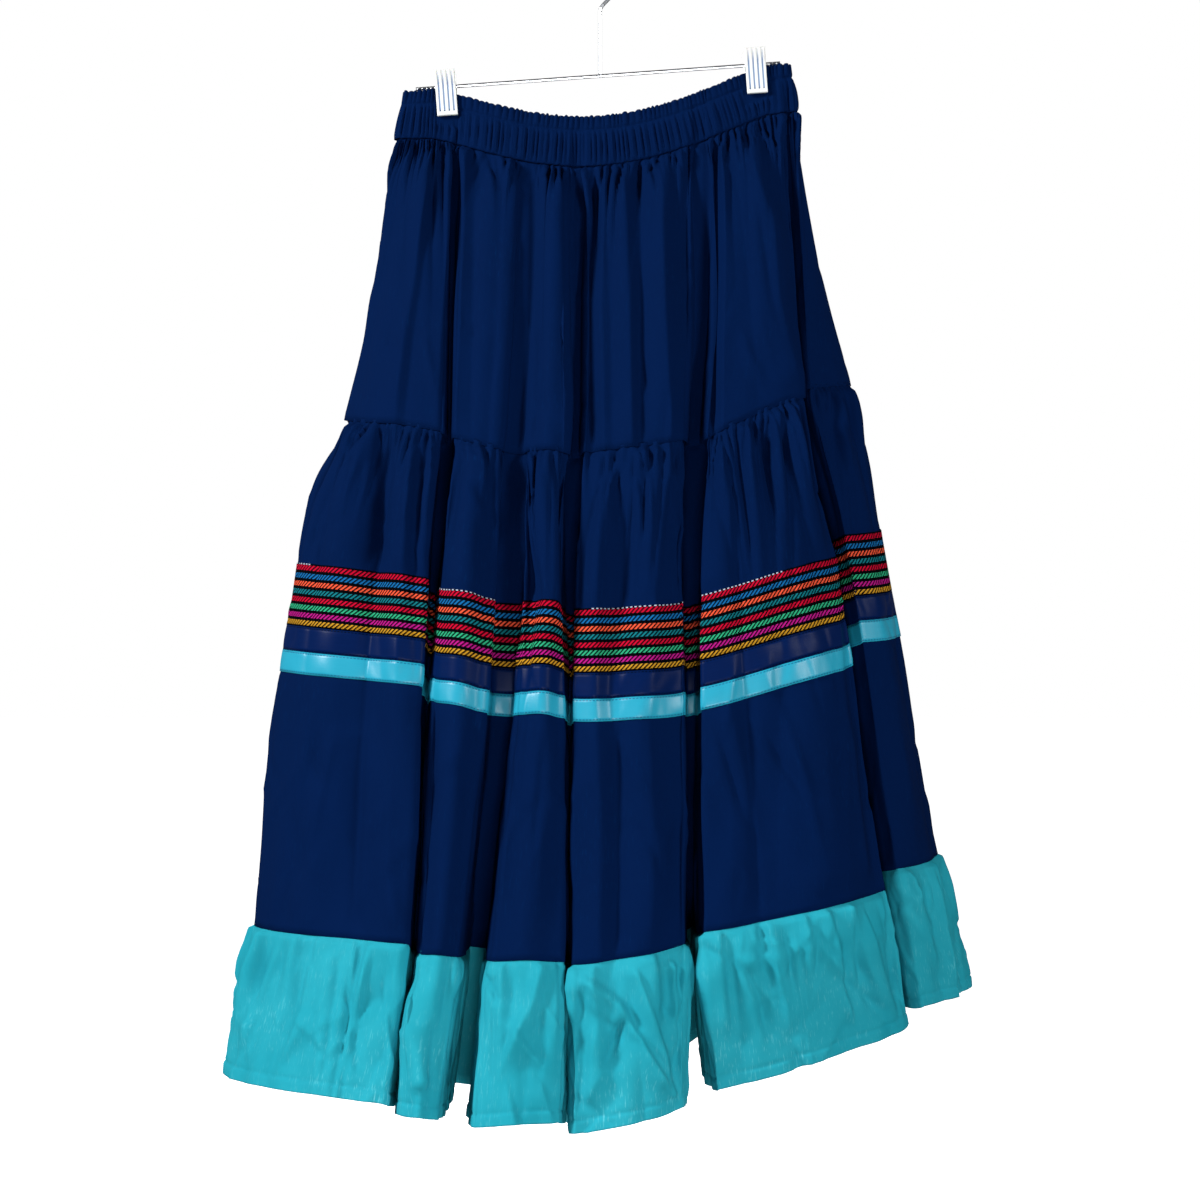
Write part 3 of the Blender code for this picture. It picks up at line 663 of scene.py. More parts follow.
upper_lengths = CASING_END + np.concatenate(
    (
        (-SEAM_TURNING, -SEAM_TURNING / 3),
        np.linspace(0, 0.03, 11),
        np.linspace(0.03, TIER_SEAM - CASING_END, 34)[1:],
    )
)
upper_sides = {}
for side, start, end in SIDES:
    places, around = even_places(start, end, TIER_SEAM, UPPER_PITCH[side])
    plain = hang(places, upper_lengths)
    outwards = face_directions(plain)
    length = upper_lengths[:, None]
    below = length - CASING_END
    round_it = around + UPPER_START[side]
    relief = gathers(round_it, below, *UPPER_FINE)
    relief += gathers(round_it, below, *UPPER_MIDDLING) * ease((below + 0.004) / 0.012)
    relief += gathers(round_it, below, *UPPER_FINEST)
    if side == "front":
        relief += UPPER_RAISED[0] * folded(plain, outwards, UPPER_FOLDS) * ease((below + 0.002) / 0.030)
        relief += UPPER_RAISED[1] * creases(plain, outwards, UPPER_CREASES)
    else:
        relief += gathers(round_it, below, *UPPER_LONG) * ease(below / 0.03)
    relief = relief * calm_in_folds(places)[None, :] * (0.20 + 0.80 * ease((below + 0.001) / 0.007))
    relief += gentle_waves(round_it, below, 0.0007, 24) * ease(below / 0.03)
    relief += crumples(round_it, below, *UPPER_CRUMPLES) * ease((below - 0.04) / 0.06)
    relief *= 0.60 + 0.40 * ease((TIER_SEAM - length) / 0.030)
    relief *= meet_at_sides(around, 0.015)
    side_on = facing_side(outwards)
    relief -= 0.0050 * side_on * ease((below + 0.003) / 0.006) * close_to(below, SIDE_FADE)
    upper_sides[side] = (places, relief[-1].copy())
    relief -= 0.0009 * close_to(below, SEAM_DENT) + 0.0006 * close_to(TIER_SEAM - length, SEAM_DENT)
    relief -= behind_seam(below, 0.0016) + 0.0010 * ease(1 - below / 0.012)
    points = plain + outwards * relief[..., None]
    hang_piece(
        f"upper_tier_{side}", "cloth", navy_cotton, points, around, length, POPLIN_WALL,
        (UPPER_CUT / 2, TIER_SEAM - CASING_END),
    )

# Lower tier. Twice the width of the upper tier, gathered into its seam: fine gathers just below the
# seam, long slanting ones further down, and broad lobes that hang between the deep folds.

# Gathers, crumples, folds and creases, each laid out as in the upper tier
LOWER_FINE = (0.0125, 0.0080, 0.050, 31, 0.4, 2.4)
LOWER_MIDDLING = (0.029, 0.0110, 0.120, 32, 0.3)
LOWER_LONG = (0.060, 0.0170, 0.240, 33, 0.2)
LOWER_LONGEST = (0.120, 0.0120, 0.900, 34, 0.03)
LOWER_CRUMPLES = (0.50, 680, 0.0024, 36)
LOWER_RAISED = (1.1, 1.7)
LOWER_PITCH = {"front": 0.0026, "back": 0.0036}
LOWER_START = {"front": 0.0, "back": 1.7}
LOWER_FOLDS = (
    (((330, 440), (300, 560), (285, 700), (262, 960)), 0),
    (((354, 440), (335, 505), (318, 560), (305, 700), (292, 960)), 6),
    (((392, 437), (381, 511), (374, 574), (364, 700), (352, 960)), -5),
    (((415, 437), (408, 511), (404, 578), (396, 700), (388, 960)), 4),
    (((432, 430), (426, 511), (425, 578), (422, 659), (422, 770), (419, 844), (407, 960)), 1),
    (((441, 430), (435, 511), (434, 578), (431, 659), (431, 770), (428, 844), (416, 960)), -8),
    (((457, 442), (446, 481), (443, 585), (442, 696), (436, 788), (428, 862), (419, 960)), 0),
    (((475, 442), (470, 520), (466, 600), (458, 733), (450, 844), (438, 960)), 7),
    (((494, 460), (494, 530), (490, 600), (478, 733), (468, 844), (456, 960)), 5),
    (((523, 452), (527, 520), (530, 577), (511, 714), (493, 844), (481, 960)), -11),
    (((532, 452), (538, 530), (548, 600), (526, 714), (507, 844), (494, 960)), 6),
    (((566, 456), (566, 560), (568, 700), (567, 834), (567, 960)), -3),
    (((591, 451), (583, 479), (576, 550), (571, 605), (569, 716), (568, 834), (569, 960)), -2),
    (((604, 451), (603, 520), (598, 600), (596, 696), (600, 800), (600, 960)), 6),
    (((613, 451), (617, 518), (611, 550), (610, 617), (609, 696), (615, 755), (617, 874), (614, 960)), -4),
    (((640, 450), (650, 520), (652, 600), (650, 700), (650, 960)), 7),
    (((676, 451), (684, 526), (689, 605), (688, 716), (683, 874), (680, 960)), -4),
    (((697, 451), (695, 593), (696, 676), (692, 795), (692, 960)), 0),
    (((725, 440), (735, 520), (735, 600), (733, 700), (730, 960)), 5),
    (((755, 430), (775, 520), (784, 600), (780, 700), (775, 960)), -3),
    (((773, 411), (793, 451), (817, 506), (833, 558), (838, 650), (840, 760), (842, 960)), 8),
    (((803, 399), (825, 500), (840, 560), (856, 672), (868, 755), (880, 834), (895, 960)), -3),
    (((840, 390), (852, 470), (866, 560), (882, 650), (900, 760), (930, 960)), 5),
    (((862, 380), (888, 500), (898, 617), (927, 775), (967, 960)), -2),
)
LOWER_CREASES = (
    (((322, 700), (317, 740), (302, 825), (296, 900)), -2.0, 6, 5, 0.4, 0.4),
    (((340, 715), (330, 760), (312, 850)), 1.6, 5, 4, 0.4, 0.4),
    (((372, 700), (366, 800), (362, 930)), 2.0, 8, 6, 0.3, 0.2),
    (((459, 470), (470, 500), (490, 536)), 1.8, 5, 4, 0.3, 0.4),
    (((508, 730), (516, 770), (530, 820)), 1.6, 6, 4, 0.3, 0.4),
    (((545, 720), (540, 790), (530, 880)), -1.8, 6, 5, 0.3, 0.4),
    (((670, 463), (678, 490), (690, 550)), 2.6, 5, 3, 0.2, 0.3),
    (((620, 730), (632, 760), (650, 800)), 1.6, 5, 4, 0.3, 0.4),
    (((640, 820), (652, 850), (668, 890)), -1.8, 6, 4, 0.3, 0.4),
    (((746, 427), (753, 444), (761, 463)), 3.0, 6, 3, 0.1, 0.5),
    (((710, 716), (722, 745), (730, 771), (738, 800), (753, 834)), -2.6, 5, 4, 0.3, 0.4),
    (((728, 700), (742, 760), (762, 850)), 2.2, 8, 6, 0.3, 0.5),
    (((761, 728), (777, 752), (793, 779), (803, 800), (813, 819)), -2.6, 5, 4, 0.3, 0.4),
    (((780, 700), (800, 780), (822, 880)), 2.2, 8, 6, 0.3, 0.4),
    (((843, 700), (852, 790), (866, 880)), 2.4, 8, 5, 0.3, 0.1),
)
SEWN_REACH = 0.012  # the trims keep the cloth flatter up to this far above and below them


def lower_relief(side, plain, outwards, places, around, lengths):
    """Relief of the lower tier's face, which the braid and the ribbons follow too."""
    length = lengths[:, None]
    below = length - TIER_SEAM
    edges = meet_at_sides(around, 0.020)
    around = around + LOWER_START[side]
    relief = gathers(around, below, *LOWER_FINE)
    relief += gathers(around, below, *LOWER_MIDDLING) * ease((below + 0.004) / 0.014)
    relief += gathers(around, below, *LOWER_LONG) * ease(below / 0.04)
    if side == "front":
        relief += LOWER_RAISED[0] * folded(plain, outwards, LOWER_FOLDS) * ease((below + 0.01) / 0.04)
        relief += LOWER_RAISED[1] * creases(plain, outwards, LOWER_CREASES)
    relief += gathers(around, below, *LOWER_LONGEST) * ease(below / 0.10)
    side_on = facing_side(outwards)
    relief *= 1 - 0.55 * side_on * close_to(below, SIDE_FADE)
    relief = relief * calm_in_folds(places)[None, :]
    relief += gentle_waves(around, below, 0.0014, 35) * ease(below / 0.05)
    relief += crumples(around, below, *LOWER_CRUMPLES) * ease((below - 0.03) / 0.08)
    relief *= 0.50 + 0.50 * ease(below / 0.008)
    above_places, above_relief = upper_sides[side]
    relief += np.interp(places, above_places, above_relief)[None, :] * close_to(below, 0.05)
    relief *= 0.55 + 0.45 * ease((FLOUNCE_SEAM - length) / 0.030)
    sewn_flat = ease((length - BRAID_TOP + SEWN_REACH) / SEWN_REACH)
    sewn_flat *= ease((TURQUOISE_RIBBON_END + SEWN_REACH - length) / SEWN_REACH)
    relief *= (1 - 0.25 * sewn_flat) * edges
    relief -= 0.0090 * side_on * ease((below + 0.003) / 0.008) * close_to(below, 0.20)
    return relief - 0.0016 * close_to(below, 0.0030) - behind_seam(below, 0.0006)


lower_lengths = TIER_SEAM + np.concatenate(
    (
        (-SEAM_TURNING, -SEAM_TURNING / 3),
        np.linspace(0, 0.045, 14),
        np.linspace(0.045, FLOUNCE_SEAM - TIER_SEAM, 64)[1:],
    )
)
lower_sides, lower_feet = {}, {}
for side, start, end in SIDES:
    places, around = even_places(start, end, FLOUNCE_SEAM, LOWER_PITCH[side])
    lower_sides[side] = (places, around)
    plain = hang(places, lower_lengths)
    outwards = face_directions(plain)
    relief = lower_relief(side, plain, outwards, places, around, lower_lengths)
    lower_feet[side] = relief[-1].copy()
    points = plain + outwards * relief[..., None]
    hang_piece(
        f"lower_tier_{side}", "cloth", navy_cotton, points, around,
        lower_lengths[:, None], POPLIN_WALL,
        (float(around[-2]), FLOUNCE_SEAM - TIER_SEAM),
    )

# Striped braid. A woven twill band 64 mm wide in eight colours with black between them, laid over the
# lower tier and stitched down along both edges.


def trim_points(side, lengths, lift):
    """The lower tier's own face at these lengths, lifted by the thickness of what is sewn on it."""
    places, around = lower_sides[side]
    plain = hang(places, lengths)
    outwards = face_directions(plain)
    relief = lower_relief(side, plain, outwards, places, around, lengths)
    points = plain + outwards * (relief + lift)[..., None]
    run = run_along(points[len(lengths) // 2])
    return points, run - run[1]


BRAID_STRIPES = ("#B2082A", "#125F98", "#DA5034", "#106C76", "#B8082C", "#2A9C70", "#A81678", "#BA8824")
STRIPE_PITCH = 0.0080
BRAID_LENGTH = 1.40  # metres, a little over the longer side
# Where the white edge thread starts to show (1) and stops (0), in metres along the band
SELVEDGE_SHOWS = (
    (0.030, 1), (0.078, 0), (0.322, 1), (0.406, 0), (0.652, 1), (0.770, 0), (0.855, 1), (0.993, 0),
)
BLACK_LINE = 0.0030  # black between two stripes
TWILL_PITCH = 0.0046  # a twill line is 0.8 mm in the real band, drawn coarser so that it shows
EDGE_THREAD, DASH_PITCH = 0.0012, 0.0046  # width of the white edge thread, and from dash to dash


def braid_finish():
    """Woven cotton braid: matt, its colours broken by the dark diagonal lines of its twill."""
    made, tree, shader = new_finish("woven striped braid")
    uv = add_node(tree, "UVMap", uv_map="cloth")
    metres = add_node(tree, "SeparateXYZ", {"Vector": uv})
    along, down = metres.outputs[:2]
    whole = STRIPE_PITCH * len(BRAID_STRIPES)
    share_down = add_node(tree, "Math", {0: down, 1: 1 / whole}, operation="MULTIPLY")
    ramp = add_node(tree, "ValToRGB", {"Fac": share_down})
    stops = ramp.color_ramp.elements
    ramp.color_ramp.interpolation = "CONSTANT"
    black = linear("#010103")
    stops[0].color = black
    stops.remove(stops[1])
    for number, stripe in enumerate(BRAID_STRIPES):
        top = number * STRIPE_PITCH + BLACK_LINE / 2
        foot = (number + 1) * STRIPE_PITCH - BLACK_LINE / 2
        stops.new(top / whole).color = linear(stripe)
        stops.new(foot / whole).color = black
    across = add_node(tree, "Math", {0: along, 1: down}, operation="ADD")
    turns = add_node(tree, "Math", {0: across, 1: 1 / TWILL_PITCH}, operation="MULTIPLY")
    part = add_node(tree, "Math", {0: turns}, operation="FRACT")
    line = add_node(tree, "Math", {0: part, 1: 0.5, 2: 0.25}, operation="COMPARE")
    worn = add_node(tree, "TexNoise", {"Vector": uv, "Scale": 420.0, "Detail": 2.0})
    shade = add_node(tree, "MapRange", {"Value": worn, "From Min": 0.3, "From Max": 0.65, "To Min": 0.85})
    dark = add_node(tree, "Math", {0: line, 1: shade}, operation="MULTIPLY")
    woven = add_node(tree, "Mix", {0: dark, 6: ramp, 7: linear("#010207")}, data_type="RGBA")
    # A white edge thread that shows as dashes along the top, where the band is not turned under.
    on_edge = add_node(tree, "Math", {0: down, 1: EDGE_THREAD}, operation="LESS_THAN")
    dashes = add_node(tree, "Math", {0: along, 1: 1 / DASH_PITCH}, operation="MULTIPLY")
    dash = add_node(tree, "Math", {0: dashes}, operation="FRACT")
    dash = add_node(tree, "Math", {0: dash, 1: 0.50}, operation="LESS_THAN")
    stretches = add_node(tree, "Math", {0: along, 1: 1 / BRAID_LENGTH}, operation="MULTIPLY")
    shows = add_node(tree, "ValToRGB", {"Fac": stretches})
    stops = shows.color_ramp.elements
    shows.color_ramp.interpolation = "CONSTANT"
    stops[0].color = (0.0, 0.0, 0.0, 1.0)
    stops.remove(stops[1])
    for position, seen in SELVEDGE_SHOWS:
        stops.new(position / BRAID_LENGTH).color = (seen, seen, seen, 1.0)
    thread = add_node(tree, "Math", {0: on_edge, 1: dash}, operation="MULTIPLY")
    thread = add_node(tree, "Math", {0: thread, 1: shows}, operation="MULTIPLY")
    tint = add_node(tree, "Mix", {0: thread, 6: woven.outputs[2], 7: linear("#A6AEBE")}, data_type="RGBA")
    ribs = add_node(tree, "Math", {0: part, 1: math.pi}, operation="MULTIPLY")
    raised = add_node(tree, "Math", {0: ribs}, operation="SINE")
    bump = add_node(tree, "Bump", {"Strength": 0.5, "Distance": 0.0004, "Height": raised})
    set_sockets(tree, shader, {
        "Base Color": tint.outputs[2], "Roughness": 0.85, "Specular IOR Level": 0.03, "Normal": bump,
    })
    return made


striped_braid = braid_finish()
BRAID_LIFT, BRAID_WALL = 0.0011, 0.0008
for side, _, _ in SIDES:
    braid_lengths = np.linspace(BRAID_TOP, BRAID_END, 11)
    points, around = trim_points(side, braid_lengths, BRAID_LIFT)
    hang_piece(
        f"striped_braid_{side}", "band", striped_braid,
        points, around, braid_lengths[:, None] - BRAID_TOP, BRAID_WALL,
        (float(around[-2]), BRAID_END - BRAID_TOP),
    )

# Satin ribbons. A navy one 26 mm wide under the braid and a turquoise one 22 mm wide below it, of
# polyester satin, stitched down near their edges. They buckle a little between the stitches.

STITCH_PITCH, STITCH_SHARE = 0.0034, 0.62  # from stitch to stitch, and how much of that is thread
STITCH_IN, STITCH_HALF_WIDTH = 0.0017, 0.0005  # how far in from the edge, and half how wide it looks


def satin(name, colour, bright, width, thread, gloss, roughness):
    """Polyester satin: long floats that give it a strong, soft-edged shine, with painted sheen streaked
    along the floats in a lighter colour, and a darker row of stitches 2 mm from each edge."""
    made, tree, shader = new_finish(name)
    uv = add_node(tree, "UVMap", uv_map="cloth")
    metres = add_node(tree, "SeparateXYZ", {"Vector": uv})
    along, down = metres.outputs[:2]
    from_middle = add_node(tree, "Math", {0: down, 1: width / 2}, operation="SUBTRACT")
    apart = add_node(tree, "Math", {0: from_middle}, operation="ABSOLUTE")
    on_line = add_node(
        tree, "Math", {0: apart, 1: width / 2 - STITCH_IN, 2: STITCH_HALF_WIDTH}, operation="COMPARE"
    )
    turns = add_node(tree, "Math", {0: along, 1: 1 / STITCH_PITCH}, operation="MULTIPLY")
    part = add_node(tree, "Math", {0: turns}, operation="FRACT")
    stitch = add_node(tree, "Math", {0: part, 1: STITCH_SHARE}, operation="LESS_THAN")
    sewn = add_node(tree, "Math", {0: on_line, 1: stitch}, operation="MULTIPLY")
    floats = add_node(tree, "Mapping", {"Vector": uv, "Scale": (40.0, 2600.0, 1.0)})
    float_grain_and_sheen = add_node(tree, "TexNoise", {"Vector": floats, "Scale": 1.0, "Detail": 2.0})
    # Painted sheen: the floats are streaked with the lighter second colour.
    body = add_node(tree, "Mix", {0: float_grain_and_sheen, 6: linear(colour), 7: linear(bright)}, data_type="RGBA")
    tint = add_node(tree, "Mix", {0: sewn, 6: body.outputs[2], 7: linear(thread)}, data_type="RGBA")
    height = add_node(tree, "Math", {0: sewn, 1: -2.0, 2: float_grain_and_sheen}, operation="MULTIPLY_ADD")
    bump = add_node(tree, "Bump", {"Strength": 0.3, "Distance": 0.0002, "Height": height})
    set_sockets(tree, shader, {
        "Base Color": tint.outputs[2], "Roughness": roughness, "Specular IOR Level": gloss, "Normal": bump,
    })
    return made


# The second colour of each satin is painted sheen, laid in streaks along its floats.
navy_satin = satin(
    "navy polyester satin", "#001038", "#041C4C", NAVY_RIBBON_END - BRAID_END, "#00081F", 0.05, 0.38
)
turquoise_satin = satin(
    "turquoise polyester satin", "#168AA6", "#2199B3", TURQUOISE_RIBBON_END - NAVY_RIBBON_END, "#0E5E80",
    0.40, 0.38,
)
RIBBON_WALL = 0.0006
RIBBON_BUCKLES = (0.040, 0.0019, 0.200)  # pitch, height and reach
RIBBONS = (
    ("navy_ribbon", "navy_satin", navy_satin, BRAID_END, NAVY_RIBBON_END, 0.0009),
    ("turquoise_ribbon", "turquoise_satin", turquoise_satin, NAVY_RIBBON_END, TURQUOISE_RIBBON_END, 0.0010),
)
for name, slot, finish, top, foot, lift in RIBBONS:
    for side, _, _ in SIDES:
        ribbon_lengths = np.linspace(top, foot, 7)
        points, around = trim_points(side, ribbon_lengths, lift)
        outwards = face_directions(points)
        below = ribbon_lengths[:, None] - top
        free = np.sin(np.pi * below / (foot - top)) ** 0.6
        buckle = gathers(around, below, *RIBBON_BUCKLES, seed=len(name) + 3, lean=0.8)
        points = points + outwards * (np.clip(buckle, 0, None) * free)[..., None]
        hang_piece(
            f"{name}_{side}", "band", finish, points, around, below, RIBBON_WALL,
            (float(around[-2]), foot - top),
        )

# Flounce. A straight frill of slubby turquoise cotton, set into the lower tier's seam with a small
# pressed tuck about every 55 mm, and hemmed with a 12 mm turning.

turquoise_cotton = cotton(
    "slubby turquoise cotton", "#0B8395", "#74CAD4", "#2FA0B0", 0.3, from_down=0.115
)
HEM_TURNING = 0.012
FLOUNCE_WALL = 0.0010
TUCK_PITCH = 0.055
# Gathers, crumples and creases, each laid out as in the upper tier
FLOUNCE_SHORT = (0.026, 0.0055, 0.130, 45, 0.3, 1.8)
FLOUNCE_LONG = (0.050, 0.0110, 0.240, 42, 0.2, 1.8)
FLOUNCE_CRUMPLES = (0.16, 460, 0.0036, 46)
FLOUNCE_CREASES_RAISED = 2.4
FLOUNCE_PITCH = {"front": 0.0021, "back": 0.0034}
FLOUNCE_CREASES = (
    (((267, 932), (255, 975), (245, 1065)), 2.4, 12, 3, 0, 0.2),
    (((322, 938), (312, 975), (302, 1010), (282, 1066)), 3.0, 4, 14, 0, 0.3),
    (((371, 940), (366, 970), (360, 1012)), 2.6, 4, 12, 0, 0.4),
    (((345, 985), (352, 1020), (358, 1080)), -2.2, 4, 12, 0.2, 0.2),
    (((385, 1000), (388, 1035), (392, 1085)), 2.2, 10, 3, 0.3, 0.2),
    (((290, 1010), (310, 1035), (335, 1060)), 1.8, 4, 9, 0.3, 0.3),
    (((415, 975), (420, 1030), (424, 1095)), 2.6, 12, 4, 0.2, 0.1),
    (((484, 975), (492, 990), (506, 1012)), -2.4, 3, 10, 0.1, 0.4),
    (((538, 962), (530, 1000), (512, 1045), (500, 1080)), 3.2, 4, 13, 0, 0.3),
    (((505, 1010), (520, 1040), (548, 1075)), 2.0, 9, 3, 0.3, 0.3),
    (((571, 968), (571, 1000), (572, 1030)), 3.0, 3, 7, 0, 0.4),
    (((583, 972), (620, 1004), (650, 1062), (672, 1100)), 4.2, 14, 4, 0.1, 0.2),
    (((632, 962), (645, 1005), (662, 1050), (678, 1106)), 3.0, 9, 3, 0.1, 0.1),
    (((628, 1010), (614, 1042), (600, 1078)), -3.6, 4, 12, 0.3, 0.3),
    (((596, 1020), (590, 1060), (588, 1110)), 2.4, 4, 11, 0.3, 0.2),
    (((673, 958), (675, 1000), (677, 1060)), 2.6, 5, 3, 0.1, 0.3),
    (((717, 922), (721, 970), (728, 1050)), 2.8, 12, 4, 0, 0.3),
    (((742, 960), (760, 1000), (770, 1050)), -2.6, 4, 12, 0.2, 0.3),
    (((766, 918), (776, 970), (795, 1042)), 3.2, 4, 14, 0, 0.3),
    (((819, 906), (833, 950), (852, 1032)), 3.4, 12, 4, 0, 0.2),
    (((843, 902), (858, 950), (882, 1016)), 3.0, 4, 12, 0, 0.3),
    (((872, 930), (884, 965), (900, 1012)), -2.4, 4, 10, 0.2, 0.3),
    (((906, 880), (922, 930), (945, 985)), 2.8, 4, 12, 0, 0.3),
)
flounce_lengths = np.concatenate(
    (
        FLOUNCE_SEAM + np.array((-SEAM_TURNING, -SEAM_TURNING / 3)),
        FLOUNCE_SEAM + np.linspace(0, 0.024, 8),
        np.linspace(FLOUNCE_SEAM + 0.024, HEM - HEM_TURNING - 0.002, 30)[1:],
        np.linspace(HEM - HEM_TURNING - 0.002, HEM, 9)[1:],
    )
)


def pressed_tucks(around, below):
    """Small knife tucks: the cloth climbs slowly to each tuck's edge and drops off it, more softly
    further down."""
    rng = np.random.default_rng(41)
    relief = np.zeros(np.broadcast(around, below).shape)
    at = -0.2
    while at < 4.2:
        at += TUCK_PITCH * rng.uniform(0.9, 1.1)
        tall, long = rng.uniform(0.0045, 0.0075), rng.uniform(0.070, 0.150)
        lean = rng.uniform(-0.15, 0.15)
        away = around[None, :] - at - lean * below
        wide = np.where(away < 0, 0.020 + 0.08 * below, 0.0038 + 0.05 * below)
        relief += tall * np.exp(-np.abs(away / wide) ** 1.7) * close_to(below, long)
    return relief


for side, start, end in SIDES:
    places, around = even_places(start, end, HEM, FLOUNCE_PITCH[side])
    plain = hang(places, flounce_lengths)
    outwards = face_directions(plain)
    length = flounce_lengths[:, None]
    below = length - FLOUNCE_SEAM
    round_it = around + LOWER_START[side]
    relief = pressed_tucks(round_it, below)
    relief += gathers(round_it, below, *FLOUNCE_LONG) * ease(below / 0.05)
    relief += gathers(round_it, below, *FLOUNCE_SHORT) * ease(below / 0.03)
    if side == "front":
        relief += FLOUNCE_CREASES_RAISED * creases(plain, outwards, FLOUNCE_CREASES)
    relief += crumples(round_it, below, *FLOUNCE_CRUMPLES) * ease(below / 0.02)
    relief = relief * calm_in_folds(places)[None, :] * ease((below + 0.0005) / 0.005)
    relief += gentle_waves(round_it, below, 0.0020, 43) * ease(below / 0.04)
    relief *= meet_at_sides(around, 0.020)
    above = np.interp(places, lower_sides[side][0], lower_feet[side])
    relief += above[None, :] * close_to(below, 0.06)
    relief -= 0.0009 * close_to(below, SEAM_DENT) + behind_seam(below, 0.0006)
    from_hem = HEM - length
    relief += 0.0005 * ease((HEM_TURNING - from_hem) / 0.002)
    stitched = close_to(from_hem - HEM_TURNING, 0.0016)
    relief -= stitched * (0.0006 + 0.0006 * puckers(round_it, 0.009, 44))
    points = plain + outwards * relief[..., None]
    hang_piece(
        f"flounce_{side}", "cloth", turquoise_cotton,
        points, around, below, FLOUNCE_WALL,
        (float(around[-2]), HEM - FLOUNCE_SEAM),
    )

# Hanger. A bar and a hook of plated steel wire, with two pinch clips of white moulded plastic whose
# jaws have four grooves down the outside, each ending in a small square hole.


def plated_wire():
    """Nickel-plated steel wire, drawn: bright, with faint lines along it that blur its reflections."""
    made, tree, shader = new_finish("plated steel wire")
    place = add_node(tree, "TexCoord").outputs["Object"]
    drawn = add_node(tree, "Mapping", {"Vector": place, "Scale": (30.0, 1500.0, 1500.0)})
    lines = add_node(tree, "TexNoise", {"Vector": drawn, "Scale": 1.0, "Detail": 3.0})
    dull = add_node(tree, "MapRange", {"Value": lines, "To Min": 0.20, "To Max": 0.38})
    bump = add_node(tree, "Bump", {"Strength": 0.2, "Distance": 0.0001, "Height": lines})
    set_sockets(tree, shader, {
        "Base Color": linear("#C9CCD0"), "Metallic": 1.0, "Roughness": dull, "Normal": bump,
    })
    return made


steel_wire = plated_wire()
for name in ("hanger_bar", "hanger_hook"):
    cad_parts[name].data.materials.clear()
    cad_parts[name].data.materials.append(steel_wire)


def moulded_plastic():
    """White polypropylene, moulded: slightly waxy, and greyer in the grooves, where painted shade tints
    them blue-grey.
    """
    made, tree, shader = new_finish("white moulded plastic")
    groove = add_node(tree, "Attribute", attribute_name="groove").outputs["Fac"]
    place = add_node(tree, "TexCoord").outputs["Object"]
    mould = add_node(tree, "TexNoise", {"Vector": place, "Scale": 900.0, "Detail": 2.0})
    # Painted shade: the faces sunk in the grooves are mixed towards blue-grey.
    tint = add_node(
        tree, "Mix", {0: groove, 6: linear("#EDEEEA"), 7: linear("#8FA3C4")}, data_type="RGBA"
    )
    bump = add_node(tree, "Bump", {"Strength": 0.1, "Distance": 0.0001, "Height": mould})
    set_sockets(tree, shader, {
        "Base Color": tint.outputs[2], "Roughness": 0.38, "IOR": 1.49, "Subsurface Weight": 0.05,
        "Normal": bump,
    })
    return made


white_plastic = moulded_plastic()
CLIP_WIDTH = 0.0205
CLIP_GRIP = 0.0300
CLIP_LEVER = 0.0150
CLIP_WALL = 0.0026
CLIP_FLARE = 0.0045
BOSS_BELOW, BOSS_ABOVE = 0.0015, 0.0030
GROOVES = (-0.0069, -0.0023, 0.0023, 0.0069)
GROOVE_HALF_WIDTH = 0.0011
GROOVE_DEPTH = 0.0007
HOLE_HALF_WIDTH = 0.00055
HOLE_HEIGHTS = (-0.0252, -0.0241)
GROOVE_FOOT = -0.0236
LIP_TOP = -0.0262
WELL_BELOW_BAR = -0.012  # below this a jaw's inside lies flat on the cloth
SEAM_GAP = 0.0003
WIRE_RADIUS = 0.0018


def jaw_columns():
    """Distances across a jaw's outside, how deep each lies in a groove (0 to 1), and which are a hole's."""
    half = CLIP_WIDTH / 2
    columns = [(-half, 0, False), (-half + 0.0005, 0, False)]
    for middle in GROOVES:
        columns += [
            (middle - GROOVE_HALF_WIDTH, 0, False),
            (middle - GROOVE_HALF_WIDTH + 0.0004, 1, False),
            (middle - HOLE_HALF_WIDTH, 1, True),
            (middle + HOLE_HALF_WIDTH, 1, False),
            (middle + GROOVE_HALF_WIDTH - 0.0004, 1, False),
            (middle + GROOVE_HALF_WIDTH, 0, False),
        ]
    return columns + [(half - 0.0005, 0, False), (half, 0, False)]


